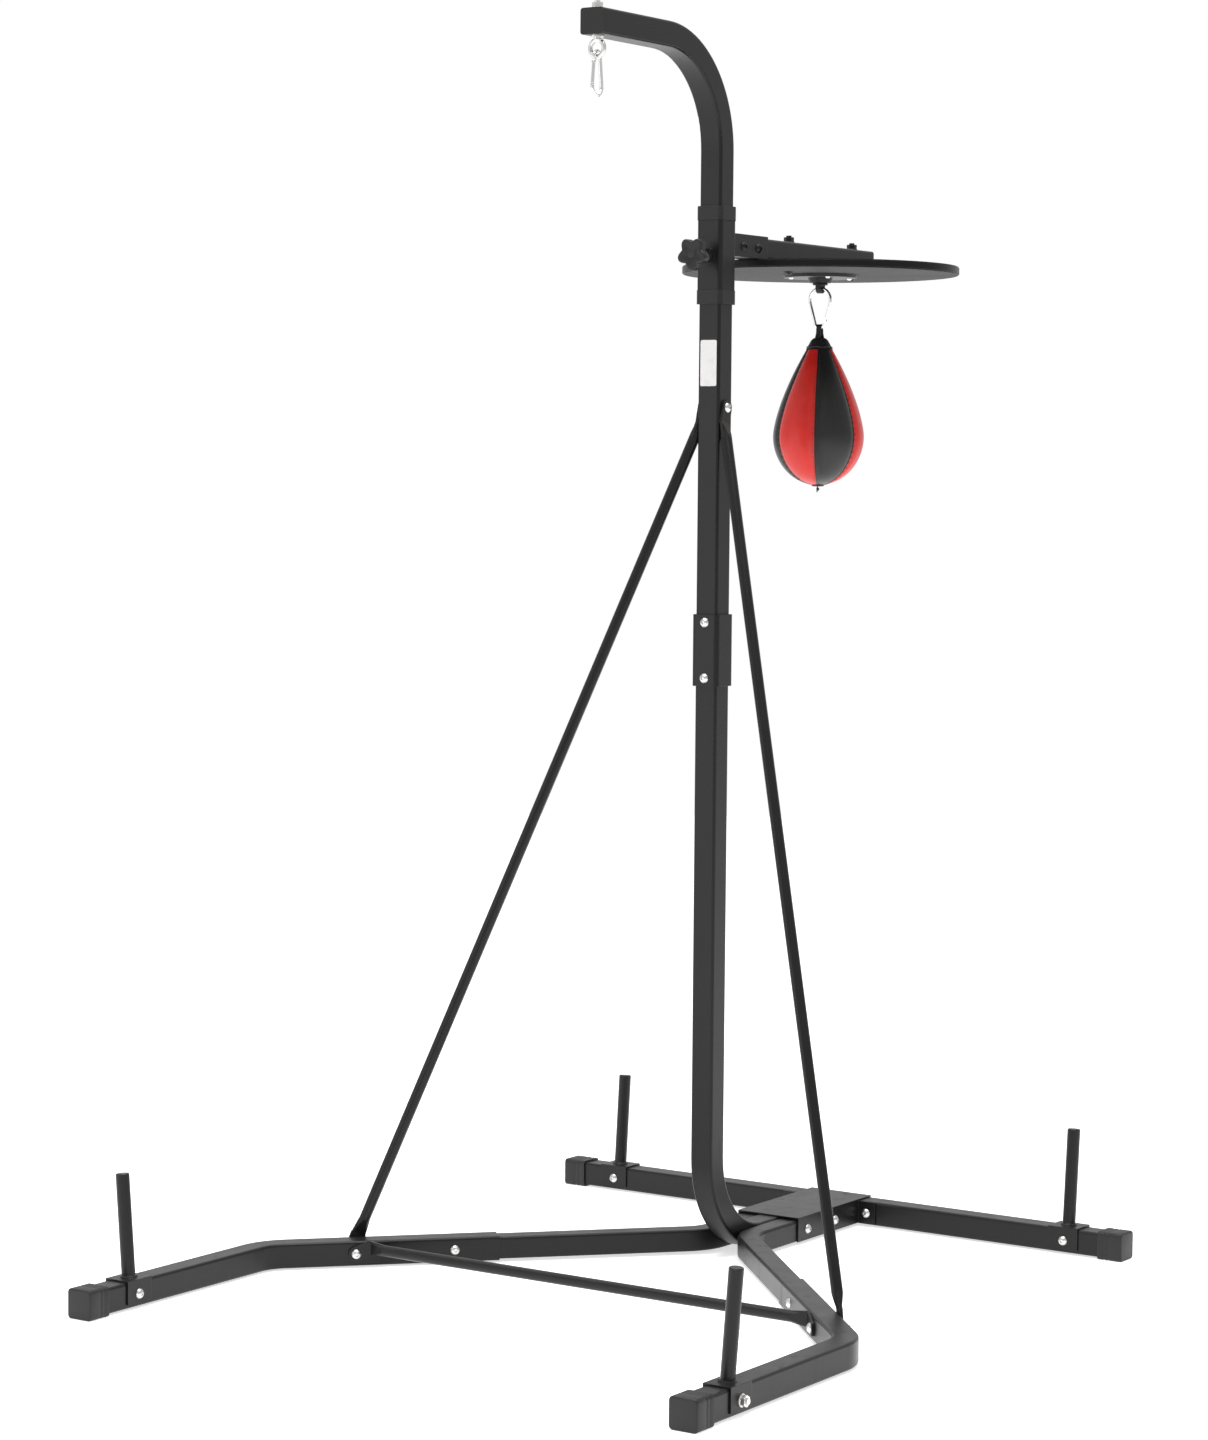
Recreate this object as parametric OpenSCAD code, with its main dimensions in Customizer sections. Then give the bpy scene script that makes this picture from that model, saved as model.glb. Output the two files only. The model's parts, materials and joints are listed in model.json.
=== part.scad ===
// Punching bag stand with two stations: an overhanging arm for a heavy bag, and a
// height-adjustable rebound board that carries a speed bag. Origin: floor level, under the
// centre of the whole stand's bounding box. +Z is up, +X points to the heavy-bag arm's side.

/* [Tube stock] */
// Outer width of the main square tube
tube = 45; // [38:1:54]
// Wall thickness of the square tubes
wall = 2; // [1.5:0.1:2.5]
// Diameter of the round brace tubes
brace_d = 20; // [16:1:25]

/* [Base] */
// Half the distance between the parallel ends of the front legs
leg_spread = 605; // [480:1:740]
// Distance from the post axis forward to the face of the front caps
leg_front = 1013; // [850:1:1220]
// Distance behind the post axis where the legs start to splay
splay_back = 67; // [55:1:90]
// Distance in front of the post axis where the legs turn parallel
splay_front = 523; // [430:1:630]
// Distance from the post axis back to the rear bar's centre line
bar_back = 463; // [380:1:560]
// Half the length of the rear bar over its caps
bar_half = 619; // [500:1:745]
// Distance along each splayed leg to the bolts that carry the braces
brace_along = 654; // [600:1:670]

/* [Post and arm] */
// Overall height of the stand
stand_h = 2215; // [2120:5:2660]
// Reach of the overhanging arm from the post axis to its tip
arm_reach = 401; // [335:1:480]
// Centre line radius of the bend at the post's foot
foot_bend_r = 165; // [140:1:200]
// Centre line radius of the bend at the post's top
arm_bend_r = 187; // [150:1:220]
// Height of the joint between the lower and the upper post
split_z = 1115; // [930:1:1250]
// Height of the bolt that holds the side braces to the post
brace_top_z = 1550; // [1480:1:1560]

/* [Weight plate pegs] */
// Diameter of the pegs
peg_d = 24; // [20:0.5:25]
// Length of the pegs above their saddles
peg_h = 178; // [140:1:215]
// Lean of the pegs away from the post, in degrees
peg_lean = 4.5; // [0:0.5:8]
// Distance of the front pegs in front of the post axis
peg_front_x = 888; // [760:1:900]
// Distance of the rear pegs from the middle of the rear bar
peg_rear_y = 500; // [400:1:520]

/* [Speed bag platform] */
// Diameter of the rebound board
board_d = 518; // [430:1:622]
// Thickness of the rebound board
board_t = 15; // [12:0.5:18]
// Distance of the board's centre behind the post axis
board_back = 364; // [320:1:420]
// Height of the board's underside
board_z = 1806; // [1790:1:1850]
// Width and height of the arm over the board
arm_w = 38; // [30:1:46]
// Diameter of the clamp knob
knob_d = 60; // [50:1:70]

/* [Speed bag] */
// Largest diameter of the speed bag
bag_d = 170; // [142:1:204]
// Height of the speed bag's body
bag_h = 263; // [220:1:270]
// Height of the bag's top below the board's underside
bag_drop = 130; // [130:1:150]

/* [Hooks] */
// Wire diameter of the heavy-bag hook
heavy_wire = 7; // [6:0.5:8]
// Wire diameter of the speed-bag hook
speed_wire = 6; // [5:0.1:7.2]

/* [Hidden] */
$fn = 48;

steel_grey = [0.20, 0.20, 0.21];
plastic_black = [0.06, 0.06, 0.06];
zinc = [0.72, 0.73, 0.75];
board_black = [0.10, 0.10, 0.10];
bag_red = [0.75, 0.12, 0.10];
label_white = [0.93, 0.93, 0.92];

slip = 0.2;                         // gap round a tube inside another
corner_r = 5;                       // outer corner radius of the tubes
lap = 0.8;                          // length by which a straight run enters a bend
thin = 0.05;                        // by which a bend's wall is thinner on each face
cap_wall = 3.5;
cap_len = 48;
half = tube / 2;
zc = cap_wall + half;               // centre line height of the base tubes
base_top = zc + half;
inner_t = tube - 2 * wall - 2 * slip; // rear leg tube that slides into the front one
rear_y = half + inner_t / 2;        // rear leg tubes lie against the post's foot
spine_y = rear_y + inner_t / 2;
plate_t = 3;
spine_end = -bar_back + half + plate_t;
leg_r = 90;                         // centre line radius of the legs' bends
splay = atan2(leg_spread - rear_y, splay_front + splay_back);
bend_cut = leg_r * tan(splay / 2);
leg_diag = norm([splay_front + splay_back, leg_spread - rear_y]);
joint_along = brace_along - 181;    // bolt that only joins the two leg tubes
seam_along = joint_along - 82;
rear_len = brace_along + 30;
bolt_d = 10;
bolt_hole_r = bolt_d / 2 + 0.3;
head_d = 18;
head_h = 6;
dome_r = (head_d * head_d / 4 + head_h * head_h) / (2 * head_h);
key_d = 7;                          // hexagon socket in a bolt's head
key_depth = 3;
nut_d = 19;
nut_h = 8;
nut_hole_r = bolt_d / 2 + 0.1;
washer_d = 21;
washer_t = 2;
thread_out = 3;                     // thread that stands out of a nut
tab_t = 5;                          // thickness of a brace's flattened end
tab_w = 28;
tab_over = 2.5;                     // how far a tab runs on past its bend
cross_tilt = 0.35;                  // rise of the cross brace's tabs along the legs
tab_len = half + 5;                 // from the bolt to the bend beside the tab
neck_inset = 0.6;                   // how far a brace's neck starts inside its tab
seat = 0.01;                        // gap under what is bolted to a splayed leg
tab_face = half + tab_t + 2 * seat; // a splayed leg's centre to a tab's outer face
neck_len = 34;                      // over which a brace narrows to its tab
hub_bolt_x = [-bar_back + 213, -bar_back + 113];
bracket_low = 6;                    // height of the bracket's lower edge
bracket_front = 35;                 // bracket beyond its front bolt
bracket_lip = 20;                   // bracket beyond the rear bar's bolts
bar_bolt_y = spine_y + 19;
saddle_len = 60;
saddle_t = 3;
saddle_drop = 15;                   // reach of a saddle's cheeks below the centre line
peg_chamfer = 1.5;
weld_h = 5.5;                       // height of a peg's weld from the middle of its saddle
weld_leg = 4;                       // how far a peg's weld spreads on its saddle
peg_out = half + saddle_t;
coupler_w = tube + 10;
coupler_h = 129;
coupler_bolt_z = [split_z - 50, split_z + 50];
arm_z = stand_h - half;
plug_in = 8;                        // how far a plug reaches into its tube
label_w = 34;
label_len = 82;
label_t = 0.3;
label_up = 38;                      // label's lower edge above the braces' bolt
hang_x = arm_reach - 18;
hang_r = 14;                        // mean radius of the hanging eye
hang_wire = 8;
hang_shank_d = 12;
hang_collar_d = 24;
hang_collar_t = 3;
eye_z = stand_h - tube - hang_wire / 2 - hang_r - 4;
sleeve_w = tube + 7;
sleeve_wall = 2.5;
bush_w = tube + 9;
bush_gap = 0.1;
arm_low = board_z + board_t;
arm_high = arm_low + arm_w;
arm_zc = (arm_low + arm_high) / 2;
fit = 0.1;                          // gap round a cap, a screw and the arm in its channel
weld_gap = 0.3;                     // gap under the channel's cheeks
sleeve_low = board_z - 47;
sleeve_high = board_z + 77;
bush_h = 25;
liner_h = 18;
liner_w = sleeve_w - 2 * sleeve_wall - bush_gap;
socket_len = board_back - board_d / 2 + 35 - sleeve_w / 2; // reaches onto the board
socket_half = arm_w / 2 + fit + plate_t;
socket_bolt_x = [for (k = [0.28, 0.72]) -sleeve_w / 2 - k * socket_len];
plug_t = 3;
knob_z = board_z + 14;
knob_t = 18;
knob_x = sleeve_w / 2 + 40;
boss_len = 14;
boss_d = 26;
screw_r = 5;                        // clamp screw
screw_gap = 0.05;
screw_in = 12;                      // clamp screw in its knob
tip_gap = 0.5;                      // between the clamp screw's tip and the post
knob_neck = 8;
knob_neck_d = 22;
core_share = 0.6;                   // knob's core and lobes, as shares of its diameter
lobe_share = 0.32;
rim_step = 2;                       // board's edge, set in at both faces
plate_r = 70;                       // swivel plate radius
board_bolt_r = plate_r + 45;
arm_tail = -board_back - board_bolt_r - 51;
swivel_t = 6;
swivel_screw_r = 2.5;
swivel_screw_in = 14;               // swivel plate's screws from its edge
screw_len = 16;
screw_head_d = 10;
screw_head_t = 3;
house_low = 15;                     // swivel housing below the board
house_r = 20;
cavity_low = 10;                    // housing's hollow, which holds the hub's head
cavity_r = 11;
hub_gap = 0.06;
head_low = 9.6;
hub_head_t = 5;
disc_low = 19;                      // hub's disc under the housing
disc_t = 3.6;
disc_r = 14;
neck_hub_r = 6;                     // hub's neck in the plate
lug_play = 1.3;                     // gap round the hook's wire in the lug
lug_drop = 25;                      // hook's top wire below the board
lug_t = 10;
lug_r = lug_drop - 15.5;
hub_z = board_z - lug_drop;
wide_r = 22;
narrow_r = 10;
speed_len = 42;
strap_z = hub_z - wide_r - speed_len; // centre of the hook's narrow end
bag_top = board_z - bag_drop;
heavy_narrow = 8.6;
heavy_wide = 14;
heavy_len = 50.4;
pin_in = 6;                         // gate's pin from the end of the narrow arc
pin_r = 1.25;
knuckle_t = 3;
knuckle_r = 3.2;
nose = 3;                           // straight nose at the open end of a hook
bag_mid = 0.35;                     // widest place of the bag, as a share of its height
neck_r = 19;                        // bag's radius at its neck
strap_w = 9;
strap_foot = 17;                    // strap's half width where it meets the bag
strap_rise = 14;                    // over which the strap narrows
strap_t = 3;
strap_hole = 5;                     // half width of the opening in the strap
strap_room = 5.4;                   // from the wire's top to the strap's
front_x = leg_front;
back_x = -max(board_back + board_d / 2, bar_back + half + cap_wall);
shift_x = -(front_x + back_x) / 2;  // puts the origin under the middle of the box

function leg_pt(s, d) = [-splay_back + d * cos(splay), s * (rear_y + d * sin(splay)), zc];
function out_dir(s) = [-sin(splay), s * cos(splay), 0];
function out_az(s) = s * (90 + splay);
function seg_az(s) = s * splay;

module stand() { translate([shift_x, 0, 0]) children(); }

// Points local +Z along a level direction
module level(p, az) { translate(p) rotate([0, 90, az]) children(); }

// Rod between two points
module rod(a, b, d) {
    v = b - a;
    translate(a) rotate([0, acos(v[2] / norm(v)), atan2(v[1], v[0])]) cylinder(h = norm(v), d = d);
}

module rounded(w, h, r) {
    square([w - 2 * r, h], center = true);
    square([w, h - 2 * r], center = true);
    for (x = [-1, 1], y = [-1, 1])
        translate([x * (w / 2 - r), y * (h / 2 - r)]) circle(r = r);
}

module ring2d(w, t, r = corner_r) {
    difference() {
        rounded(w, w, r);
        rounded(w - 2 * t, w - 2 * t, max(r - t, 1));
    }
}

// Square tube from p along a level direction
module level_tube(p, az, len, w = tube, t = wall) {
    translate(p) rotate([90, 0, az + 90]) linear_extrude(len) ring2d(w, t);
}

module post_tube(z0, z1, w = tube, t = wall) {
    translate([0, 0, z0]) linear_extrude(z1 - z0) ring2d(w, t);
}

// Level bend, its wall a shade thinner than the straight runs that enter its ends
module level_bend(p, r, from, sweep, w = tube, t = wall) {
    translate(p) rotate([0, 0, from]) rotate_extrude(angle = sweep, $fn = 96)
        translate([r, 0]) ring2d(w - 2 * thin, t - 2 * thin);
}

// Bend in the plane of the post and the arm
module upright_bend(p, r, from) {
    translate(p) rotate([90, 0, 0]) rotate([0, 0, from]) rotate_extrude(angle = 90, $fn = 96)
        translate([r, 0]) ring2d(tube, wall);
}

// Button-head bolt: bearing face at the origin, shank along +Z
module bolt(grip) {
    cylinder(h = grip + washer_t + nut_h + thread_out, d = bolt_d);
    difference() {
        intersection() {
            translate([0, 0, dome_r - head_h]) sphere(r = dome_r);
            translate([-head_d, -head_d, -head_h]) cube([2 * head_d, 2 * head_d, head_h]);
        }
        translate([0, 0, -head_h - 1]) cylinder(h = key_depth + 1, d = key_d, $fn = 6);
    }
}

// Washer and nut, standing on the origin
module nut() {
    difference() {
        union() {
            cylinder(h = washer_t, d = washer_d);
            translate([0, 0, washer_t]) cylinder(h = nut_h, d = nut_d, $fn = 6);
        }
        translate([0, 0, -1]) cylinder(h = nut_h + washer_t + 2, r = nut_hole_r);
    }
}

module drill(p, az, len = 300) {
    level(p, az) translate([0, 0, -len / 2]) cylinder(h = len, r = bolt_hole_r);
}

module lower_post() {
    color(steel_grey) stand() difference() {
        union() {
            post_tube(zc + foot_bend_r, split_z);
            upright_bend([-foot_bend_r, 0, zc + foot_bend_r], foot_bend_r, -90);
            level_tube([spine_end, 0, zc], 0, -foot_bend_r - spine_end);
        }
        for (x = hub_bolt_x) drill([x, 0, zc], 90);
        drill([0, 0, coupler_bolt_z[0]], 0);
    }
}

module upper_post() {
    color(steel_grey) stand() difference() {
        union() {
            post_tube(split_z, arm_z - arm_bend_r);
            upright_bend([arm_bend_r, 0, arm_z - arm_bend_r], arm_bend_r, 90);
            level_tube([arm_bend_r, 0, arm_z], 0, arm_reach - plug_t - arm_bend_r);
        }
        drill([0, 0, coupler_bolt_z[1]], 0);
        drill([0, 0, brace_top_z], 90);
        translate([hang_x, 0, arm_z - tube]) cylinder(h = 2 * tube, r = bolt_hole_r);
    }
}

module post_coupler() {
    color(steel_grey) stand() difference() {
        translate([0, 0, split_z - coupler_h / 2]) linear_extrude(coupler_h)
            ring2d(coupler_w, (coupler_w - tube) / 2 - slip, corner_r + 3);
        for (z = coupler_bolt_z) drill([0, 0, z], 0);
    }
}

module coupler_bolts() {
    color(zinc) stand() for (z = coupler_bolt_z) level([coupler_w / 2, 0, z], 180) bolt(coupler_w);
}

module coupler_nuts() {
    color(zinc) stand() for (z = coupler_bolt_z) level([-coupler_w / 2, 0, z], 180) nut();
}

module arm_end_plug() {
    color(plastic_black) stand() {
        level([arm_reach - plug_t, 0, arm_z], 0) linear_extrude(plug_t)
            rounded(tube, tube, corner_r);
        level([arm_reach - plug_t - plug_in, 0, arm_z], 0) linear_extrude(plug_in)
            rounded(inner_t, inner_t, corner_r - wall);
    }
}

module leg_rear(s) {
    start = -splay_back - bend_cut;
    difference() {
        union() {
            level_tube([spine_end, s * rear_y, zc], 0, start + lap - spine_end, inner_t);
            level_bend([start, s * (rear_y + leg_r), zc], leg_r, s > 0 ? -90 : 90 - splay,
                splay, inner_t);
            level_tube(leg_pt(s, bend_cut - lap), seg_az(s), rear_len + lap - bend_cut, inner_t);
        }
        for (x = hub_bolt_x) drill([x, 0, zc], 90);
        drill(leg_pt(s, joint_along), out_az(s));
        drill(leg_pt(s, brace_along), out_az(s));
    }
}

module leg_front(s) {
    turn = leg_pt(s, leg_diag - bend_cut);
    last = splay_front + bend_cut;
    difference() {
        union() {
            level_tube(leg_pt(s, seam_along), seg_az(s), leg_diag + lap - bend_cut - seam_along);
            level_bend(turn + leg_r * [sin(splay), -s * cos(splay), 0], leg_r,
                s > 0 ? 90 : -90 - splay, splay);
            level_tube([last - lap, s * leg_spread, zc], 0, leg_front + lap - cap_wall - last);
        }
        drill(leg_pt(s, joint_along), out_az(s));
        drill(leg_pt(s, brace_along), out_az(s));
        drill([peg_front_x, s * leg_spread, zc], 90);
    }
}

module leg_rear_left() { color(steel_grey) stand() leg_rear(-1); }
module leg_rear_right() { color(steel_grey) stand() leg_rear(1); }
module leg_front_left() { color(steel_grey) stand() leg_front(-1); }
module leg_front_right() { color(steel_grey) stand() leg_front(1); }

module leg_joint_bolts() {
    color(zinc) stand() for (s = [-1, 1])
        level(leg_pt(s, joint_along) - (half + seat) * out_dir(s), out_az(s)) bolt(tube);
}

module brace_foot_bolts() {
    color(zinc) stand() for (s = [-1, 1])
        level(leg_pt(s, brace_along) - tab_face * out_dir(s), out_az(s)) bolt(2 * tab_face);
}

module leg_nuts() {
    color(zinc) stand() for (s = [-1, 1]) {
        level(leg_pt(s, joint_along) + (half + seat) * out_dir(s), out_az(s)) nut();
        level(leg_pt(s, brace_along) + tab_face * out_dir(s), out_az(s)) nut();
    }
}

module rear_bar() {
    color(steel_grey) stand() difference() {
        level_tube([-bar_back, cap_wall - bar_half, zc], 90, 2 * (bar_half - cap_wall));
        for (s = [-1, 1]) {
            drill([-bar_back, s * bar_bolt_y, zc], 0);
            drill([-bar_back, s * peg_rear_y, zc], 0);
        }
    }
}

// Bracket that boxes in the three tubes and bolts to the rear bar
module hub_bracket() {
    front = hub_bolt_x[0] + bracket_front;
    side = spine_y + plate_t;
    high = base_top + 1 - bracket_low;
    color(steel_grey) stand() difference() {
        union() {
            translate([-bar_back - half, -side, base_top])
                cube([front + bar_back + half, 2 * side, plate_t]);
            for (y = [-side, spine_y]) translate([spine_end, y, bracket_low])
                cube([front - spine_end, plate_t, high]);
            translate([spine_end - plate_t, -bar_bolt_y - bracket_lip, bracket_low])
                cube([plate_t, 2 * (bar_bolt_y + bracket_lip), high - 1]);
            translate([spine_end - plate_t, -side, bracket_low]) cube([plate_t, 2 * side, high]);
        }
        for (x = hub_bolt_x) drill([x, 0, zc], 90);
        for (s = [-1, 1]) drill([-bar_back, s * bar_bolt_y, zc], 0);
    }
}

module hub_bolts() {
    color(zinc) stand() for (x = hub_bolt_x)
        level([x, spine_y + plate_t, zc], -90) bolt(2 * (spine_y + plate_t));
}

module hub_nuts() {
    color(zinc) stand() for (x = hub_bolt_x) level([x, -spine_y - plate_t, zc], -90) nut();
}

module bar_bolts() {
    color(zinc) stand() for (s = [-1, 1])
        level([spine_end, s * bar_bolt_y, zc], 180) bolt(tube + plate_t);
}

module bar_nuts() {
    color(zinc) stand() for (s = [-1, 1]) level([-bar_back - half, s * bar_bolt_y, zc], 180) nut();
}

// Frame with local Z along u and local Y as near to n as it can be
module aim(p, u, n) {
    v = n - (n * u) * u;
    y = v / norm(v);
    x = cross(y, u);
    multmatrix([[x[0], y[0], u[0], p[0]], [x[1], y[1], u[1], p[1]], [x[2], y[2], u[2], p[2]],
        [0, 0, 0, 1]]) children();
}

// Flattened, drilled end of a brace, lying on a face with normal n and running along e
module brace_tab(p, n, e) {
    aim(p, e, n) difference() {
        rotate([90, 0, 0]) translate([0, 0, -tab_t / 2]) linear_extrude(tab_t) {
            circle(d = tab_w);
            translate([-tab_w / 2, 0]) square([tab_w, tab_len + tab_over]);
        }
        rotate([90, 0, 0]) translate([0, 0, -tab_w / 2])
            cylinder(h = tab_w, r = bolt_hole_r);
    }
}

// Web that spreads from the round tube to the tab's width
module brace_neck(p, n, u) {
    aim(p, u, n) rotate([90, 0, 0]) translate([0, 0, -tab_t / 2]) linear_extrude(tab_t)
        polygon([[neck_inset - tab_w / 2, 0], [tab_w / 2 - neck_inset, 0],
            [brace_d / 2 - 0.5, neck_len], [0.5 - brace_d / 2, neck_len]]);
}

// Cuts that taper the round tube down to the tab's thickness
module brace_cut(p, n, u) {
    aim(p, u, n) rotate([90, 0, 90]) translate([0, 0, -brace_d])
        linear_extrude(2 * brace_d) for (k = [-1, 1])
        polygon([[k * (tab_t / 2 - neck_inset), 0], [k * (tab_t / 2 - neck_inset), lap],
            [k * (brace_d / 2 + neck_inset), neck_len + neck_inset],
            [k * brace_d, neck_len + neck_inset],
            [k * brace_d, 0]]);
}

// Round brace between two faces: bolt points p and q, normals n and m, tab directions e and f
module brace(p, n, e, q, m, f) {
    a = p + tab_len * e;
    b = q + tab_len * f;
    u = (b - a) / norm(b - a);
    brace_tab(p, n, e);
    brace_tab(q, m, f);
    brace_neck(a, n, u);
    brace_neck(b, m, -u);
    difference() {
        rod(a + lap * u, b - lap * u, brace_d);
        brace_cut(a, n, u);
        brace_cut(b, m, -u);
    }
}

// Brace from the post's side to the outer face of a leg
module side_brace(s) {
    side = [0, s, 0];
    top = [0, s * (half + tab_t / 2), brace_top_z];
    foot = leg_pt(s, brace_along) + (half + seat + tab_t / 2) * out_dir(s);
    run = (foot - top) / norm(foot - top);
    e = run - (run * side) * side;
    f = (run * out_dir(s)) * out_dir(s) - run;
    brace(top, side, e / norm(e), foot, out_dir(s), f / norm(f));
}

module side_brace_left() { color(steel_grey) stand() side_brace(-1); }
module side_brace_right() { color(steel_grey) stand() side_brace(1); }

module brace_top_bolt() {
    color(zinc) stand() level([0, half + tab_t, brace_top_z], -90) bolt(tube + 2 * tab_t);
}

module brace_top_nut() {
    color(zinc) stand() level([0, -half - tab_t, brace_top_z], -90) nut();
}

// Level brace between the legs' inner faces
module cross_brace() {
    right = leg_pt(1, brace_along) - (half + seat + tab_t / 2) * out_dir(1);
    left = leg_pt(-1, brace_along) - (half + seat + tab_t / 2) * out_dir(-1);
    e = [-cos(splay), -sin(splay), cross_tilt];
    f = [-cos(splay), sin(splay), cross_tilt];
    color(steel_grey) stand()
        brace(right, -out_dir(1), e / norm(e), left, -out_dir(-1), f / norm(f));
}

// Saddle over a base tube with a leaning weight peg; local Y points outwards
module plate_peg(p, az) {
    translate(p) rotate([0, 0, az]) difference() {
        union() {
            translate([-saddle_len / 2, -peg_out, half]) cube([saddle_len, 2 * peg_out, saddle_t]);
            for (y = [-peg_out, half]) translate([-saddle_len / 2, y, -saddle_drop])
                cube([saddle_len, saddle_t, half + saddle_drop + 1]);
            translate([0, 0, half + saddle_t / 2]) rotate([-peg_lean, 0, 0]) {
                cylinder(h = peg_h, d = peg_d);
                cylinder(h = weld_h, d1 = peg_d + 2 * weld_leg, d2 = peg_d);
                translate([0, 0, peg_h])
                    cylinder(h = peg_chamfer, d1 = peg_d, d2 = peg_d - 2 * peg_chamfer);
            }
        }
        drill([0, 0, 0], 90);
    }
}

module plate_peg_front_left() {
    color(steel_grey) stand() plate_peg([peg_front_x, -leg_spread, zc], 180);
}
module plate_peg_front_right() {
    color(steel_grey) stand() plate_peg([peg_front_x, leg_spread, zc], 0);
}
module plate_peg_rear_left() {
    color(steel_grey) stand() plate_peg([-bar_back, -peg_rear_y, zc], 90);
}
module plate_peg_rear_right() {
    color(steel_grey) stand() plate_peg([-bar_back, peg_rear_y, zc], 90);
}

module peg_sites() {
    for (s = [-1, 1]) {
        level([peg_front_x, s * (leg_spread - peg_out), zc], s * 90) children();
        level([-bar_back + peg_out, s * peg_rear_y, zc], 180) children();
    }
}

module peg_bolts() { color(zinc) stand() peg_sites() bolt(2 * peg_out); }

module peg_nuts() {
    color(zinc) stand() peg_sites() translate([0, 0, 2 * peg_out]) nut();
}

// Cap over a tube's end, with the outer face at p and the tube running back from it
module foot_cap(p, az) {
    w = tube + 2 * cap_wall;
    level(p, az) translate([0, 0, -cap_len]) difference() {
        linear_extrude(cap_len) rounded(w, w, corner_r + 2);
        translate([0, 0, -1]) linear_extrude(cap_len - cap_wall + 1)
            rounded(tube + fit, tube + fit, corner_r);
    }
}

module front_cap_left() { color(plastic_black) stand() foot_cap([leg_front, -leg_spread, zc], 0); }
module front_cap_right() { color(plastic_black) stand() foot_cap([leg_front, leg_spread, zc], 0); }
module rear_cap_left() { color(plastic_black) stand() foot_cap([-bar_back, -bar_half, zc], -90); }
module rear_cap_right() { color(plastic_black) stand() foot_cap([-bar_back, bar_half, zc], 90); }

module blank_label() {
    color(label_white) stand() translate([half, -label_w / 2, brace_top_z + label_up])
        cube([label_t, label_w, label_len]);
}

module hang_eye() {
    color(zinc) stand() translate([hang_x, 0, 0]) {
        translate([0, 0, eye_z]) rotate([90, 0, 90]) rotate_extrude()
            translate([hang_r, 0]) circle(d = hang_wire);
        translate([0, 0, eye_z + hang_r]) cylinder(h = stand_h - tube - eye_z - hang_r, d = hang_shank_d);
        translate([0, 0, stand_h - tube - hang_collar_t])
            cylinder(h = hang_collar_t, d = hang_collar_d);
        translate([0, 0, stand_h - tube - 1])
            cylinder(h = tube + 1 + washer_t + nut_h + thread_out, d = bolt_d);
    }
}

module hang_nut() {
    color(zinc) stand() translate([hang_x, 0, stand_h]) nut();
}

// Pear-shaped snap hook in the XZ plane, narrow end up, origin at the narrow end's centre.
// Its gate side is +X: a knuckle near the narrow end and a nose at the wide end.
module hook_arc(p, r, d, from, sweep) {
    translate(p) rotate([90, 0, 0]) rotate([0, 0, from])
        rotate_extrude(angle = sweep, $fn = 64) translate([r, 0]) circle(d = d, $fn = 32);
}

function hook_tilt(rn, rw, len) = asin((rw - rn) / len);
function hook_pin(rn, rw, len) =
    let (t = hook_tilt(rn, rw, len)) rn * [cos(t), 0, sin(t)] + pin_in * [sin(t), 0, -cos(t)];

module hook_frame(rn, rw, len, d) {
    t = hook_tilt(rn, rw, len);
    n = [cos(t), 0, sin(t)];
    m = [-cos(t), 0, sin(t)];
    down = [sin(t), 0, -cos(t)];
    back_down = [-sin(t), 0, -cos(t)];
    low = [0, 0, -len];
    pin = hook_pin(rn, rw, len);
    difference() {
        union() {
            hook_arc([0, 0, 0], rn, d, t, 180 - 2 * t);
            hook_arc(low, rw, d, 180 - t, 180 + 2 * t);
            rod(rn * m - lap * back_down, low + rw * m + lap * back_down, d - 0.2);
            rod(rn * n - lap * down, rn * n + 2 * lap * down, d - 0.2);
            rod(low + rw * n + lap * down, low + rw * n - nose * down, d - 0.2);
            translate(pin) rotate([90, 0, 0]) translate([0, 0, -knuckle_t / 2])
                cylinder(h = knuckle_t, r = knuckle_r);
            translate(rn * n) rotate([0, 180 - t, 0]) translate([-2.4, -knuckle_t / 2, 0])
                cube([4.8, knuckle_t, pin_in]);
        }
        translate(pin) rotate([90, 0, 0]) translate([0, 0, -5]) cylinder(h = 10, r = pin_r + 0.05);
    }
}

module hook_gate(rn, rw, len, d) {
    t = hook_tilt(rn, rw, len);
    reach = len * cos(t) - pin_in - nose - 0.5;
    inside = knuckle_t / 2 + 0.1;
    cheek = d / 2 - 0.2 - inside;
    translate(hook_pin(rn, rw, len)) rotate([0, 180 - t, 0]) {
        translate([0, 0, 4.2]) cylinder(h = reach - 4.2, d = d - 1);
        rotate([90, 0, 0]) cylinder(h = d - 0.4, r = pin_r, center = true);
        for (s = [-1, 1]) translate([0, s * (inside + cheek / 2), 0]) {
            translate([-2.2, -cheek / 2, 0]) cube([4.4, cheek, 6]);
            rotate([90, 0, 0]) cylinder(h = cheek, r = knuckle_r - 0.3, center = true);
        }
    }
}

module at_heavy() { stand() translate([hang_x, 0, eye_z - hang_r]) children(); }
module heavy_hook() {
    color(zinc) at_heavy() hook_frame(heavy_narrow, heavy_wide, heavy_len, heavy_wire);
}
module heavy_gate() {
    color(zinc) at_heavy() hook_gate(heavy_narrow, heavy_wide, heavy_len, heavy_wire);
}

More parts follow.
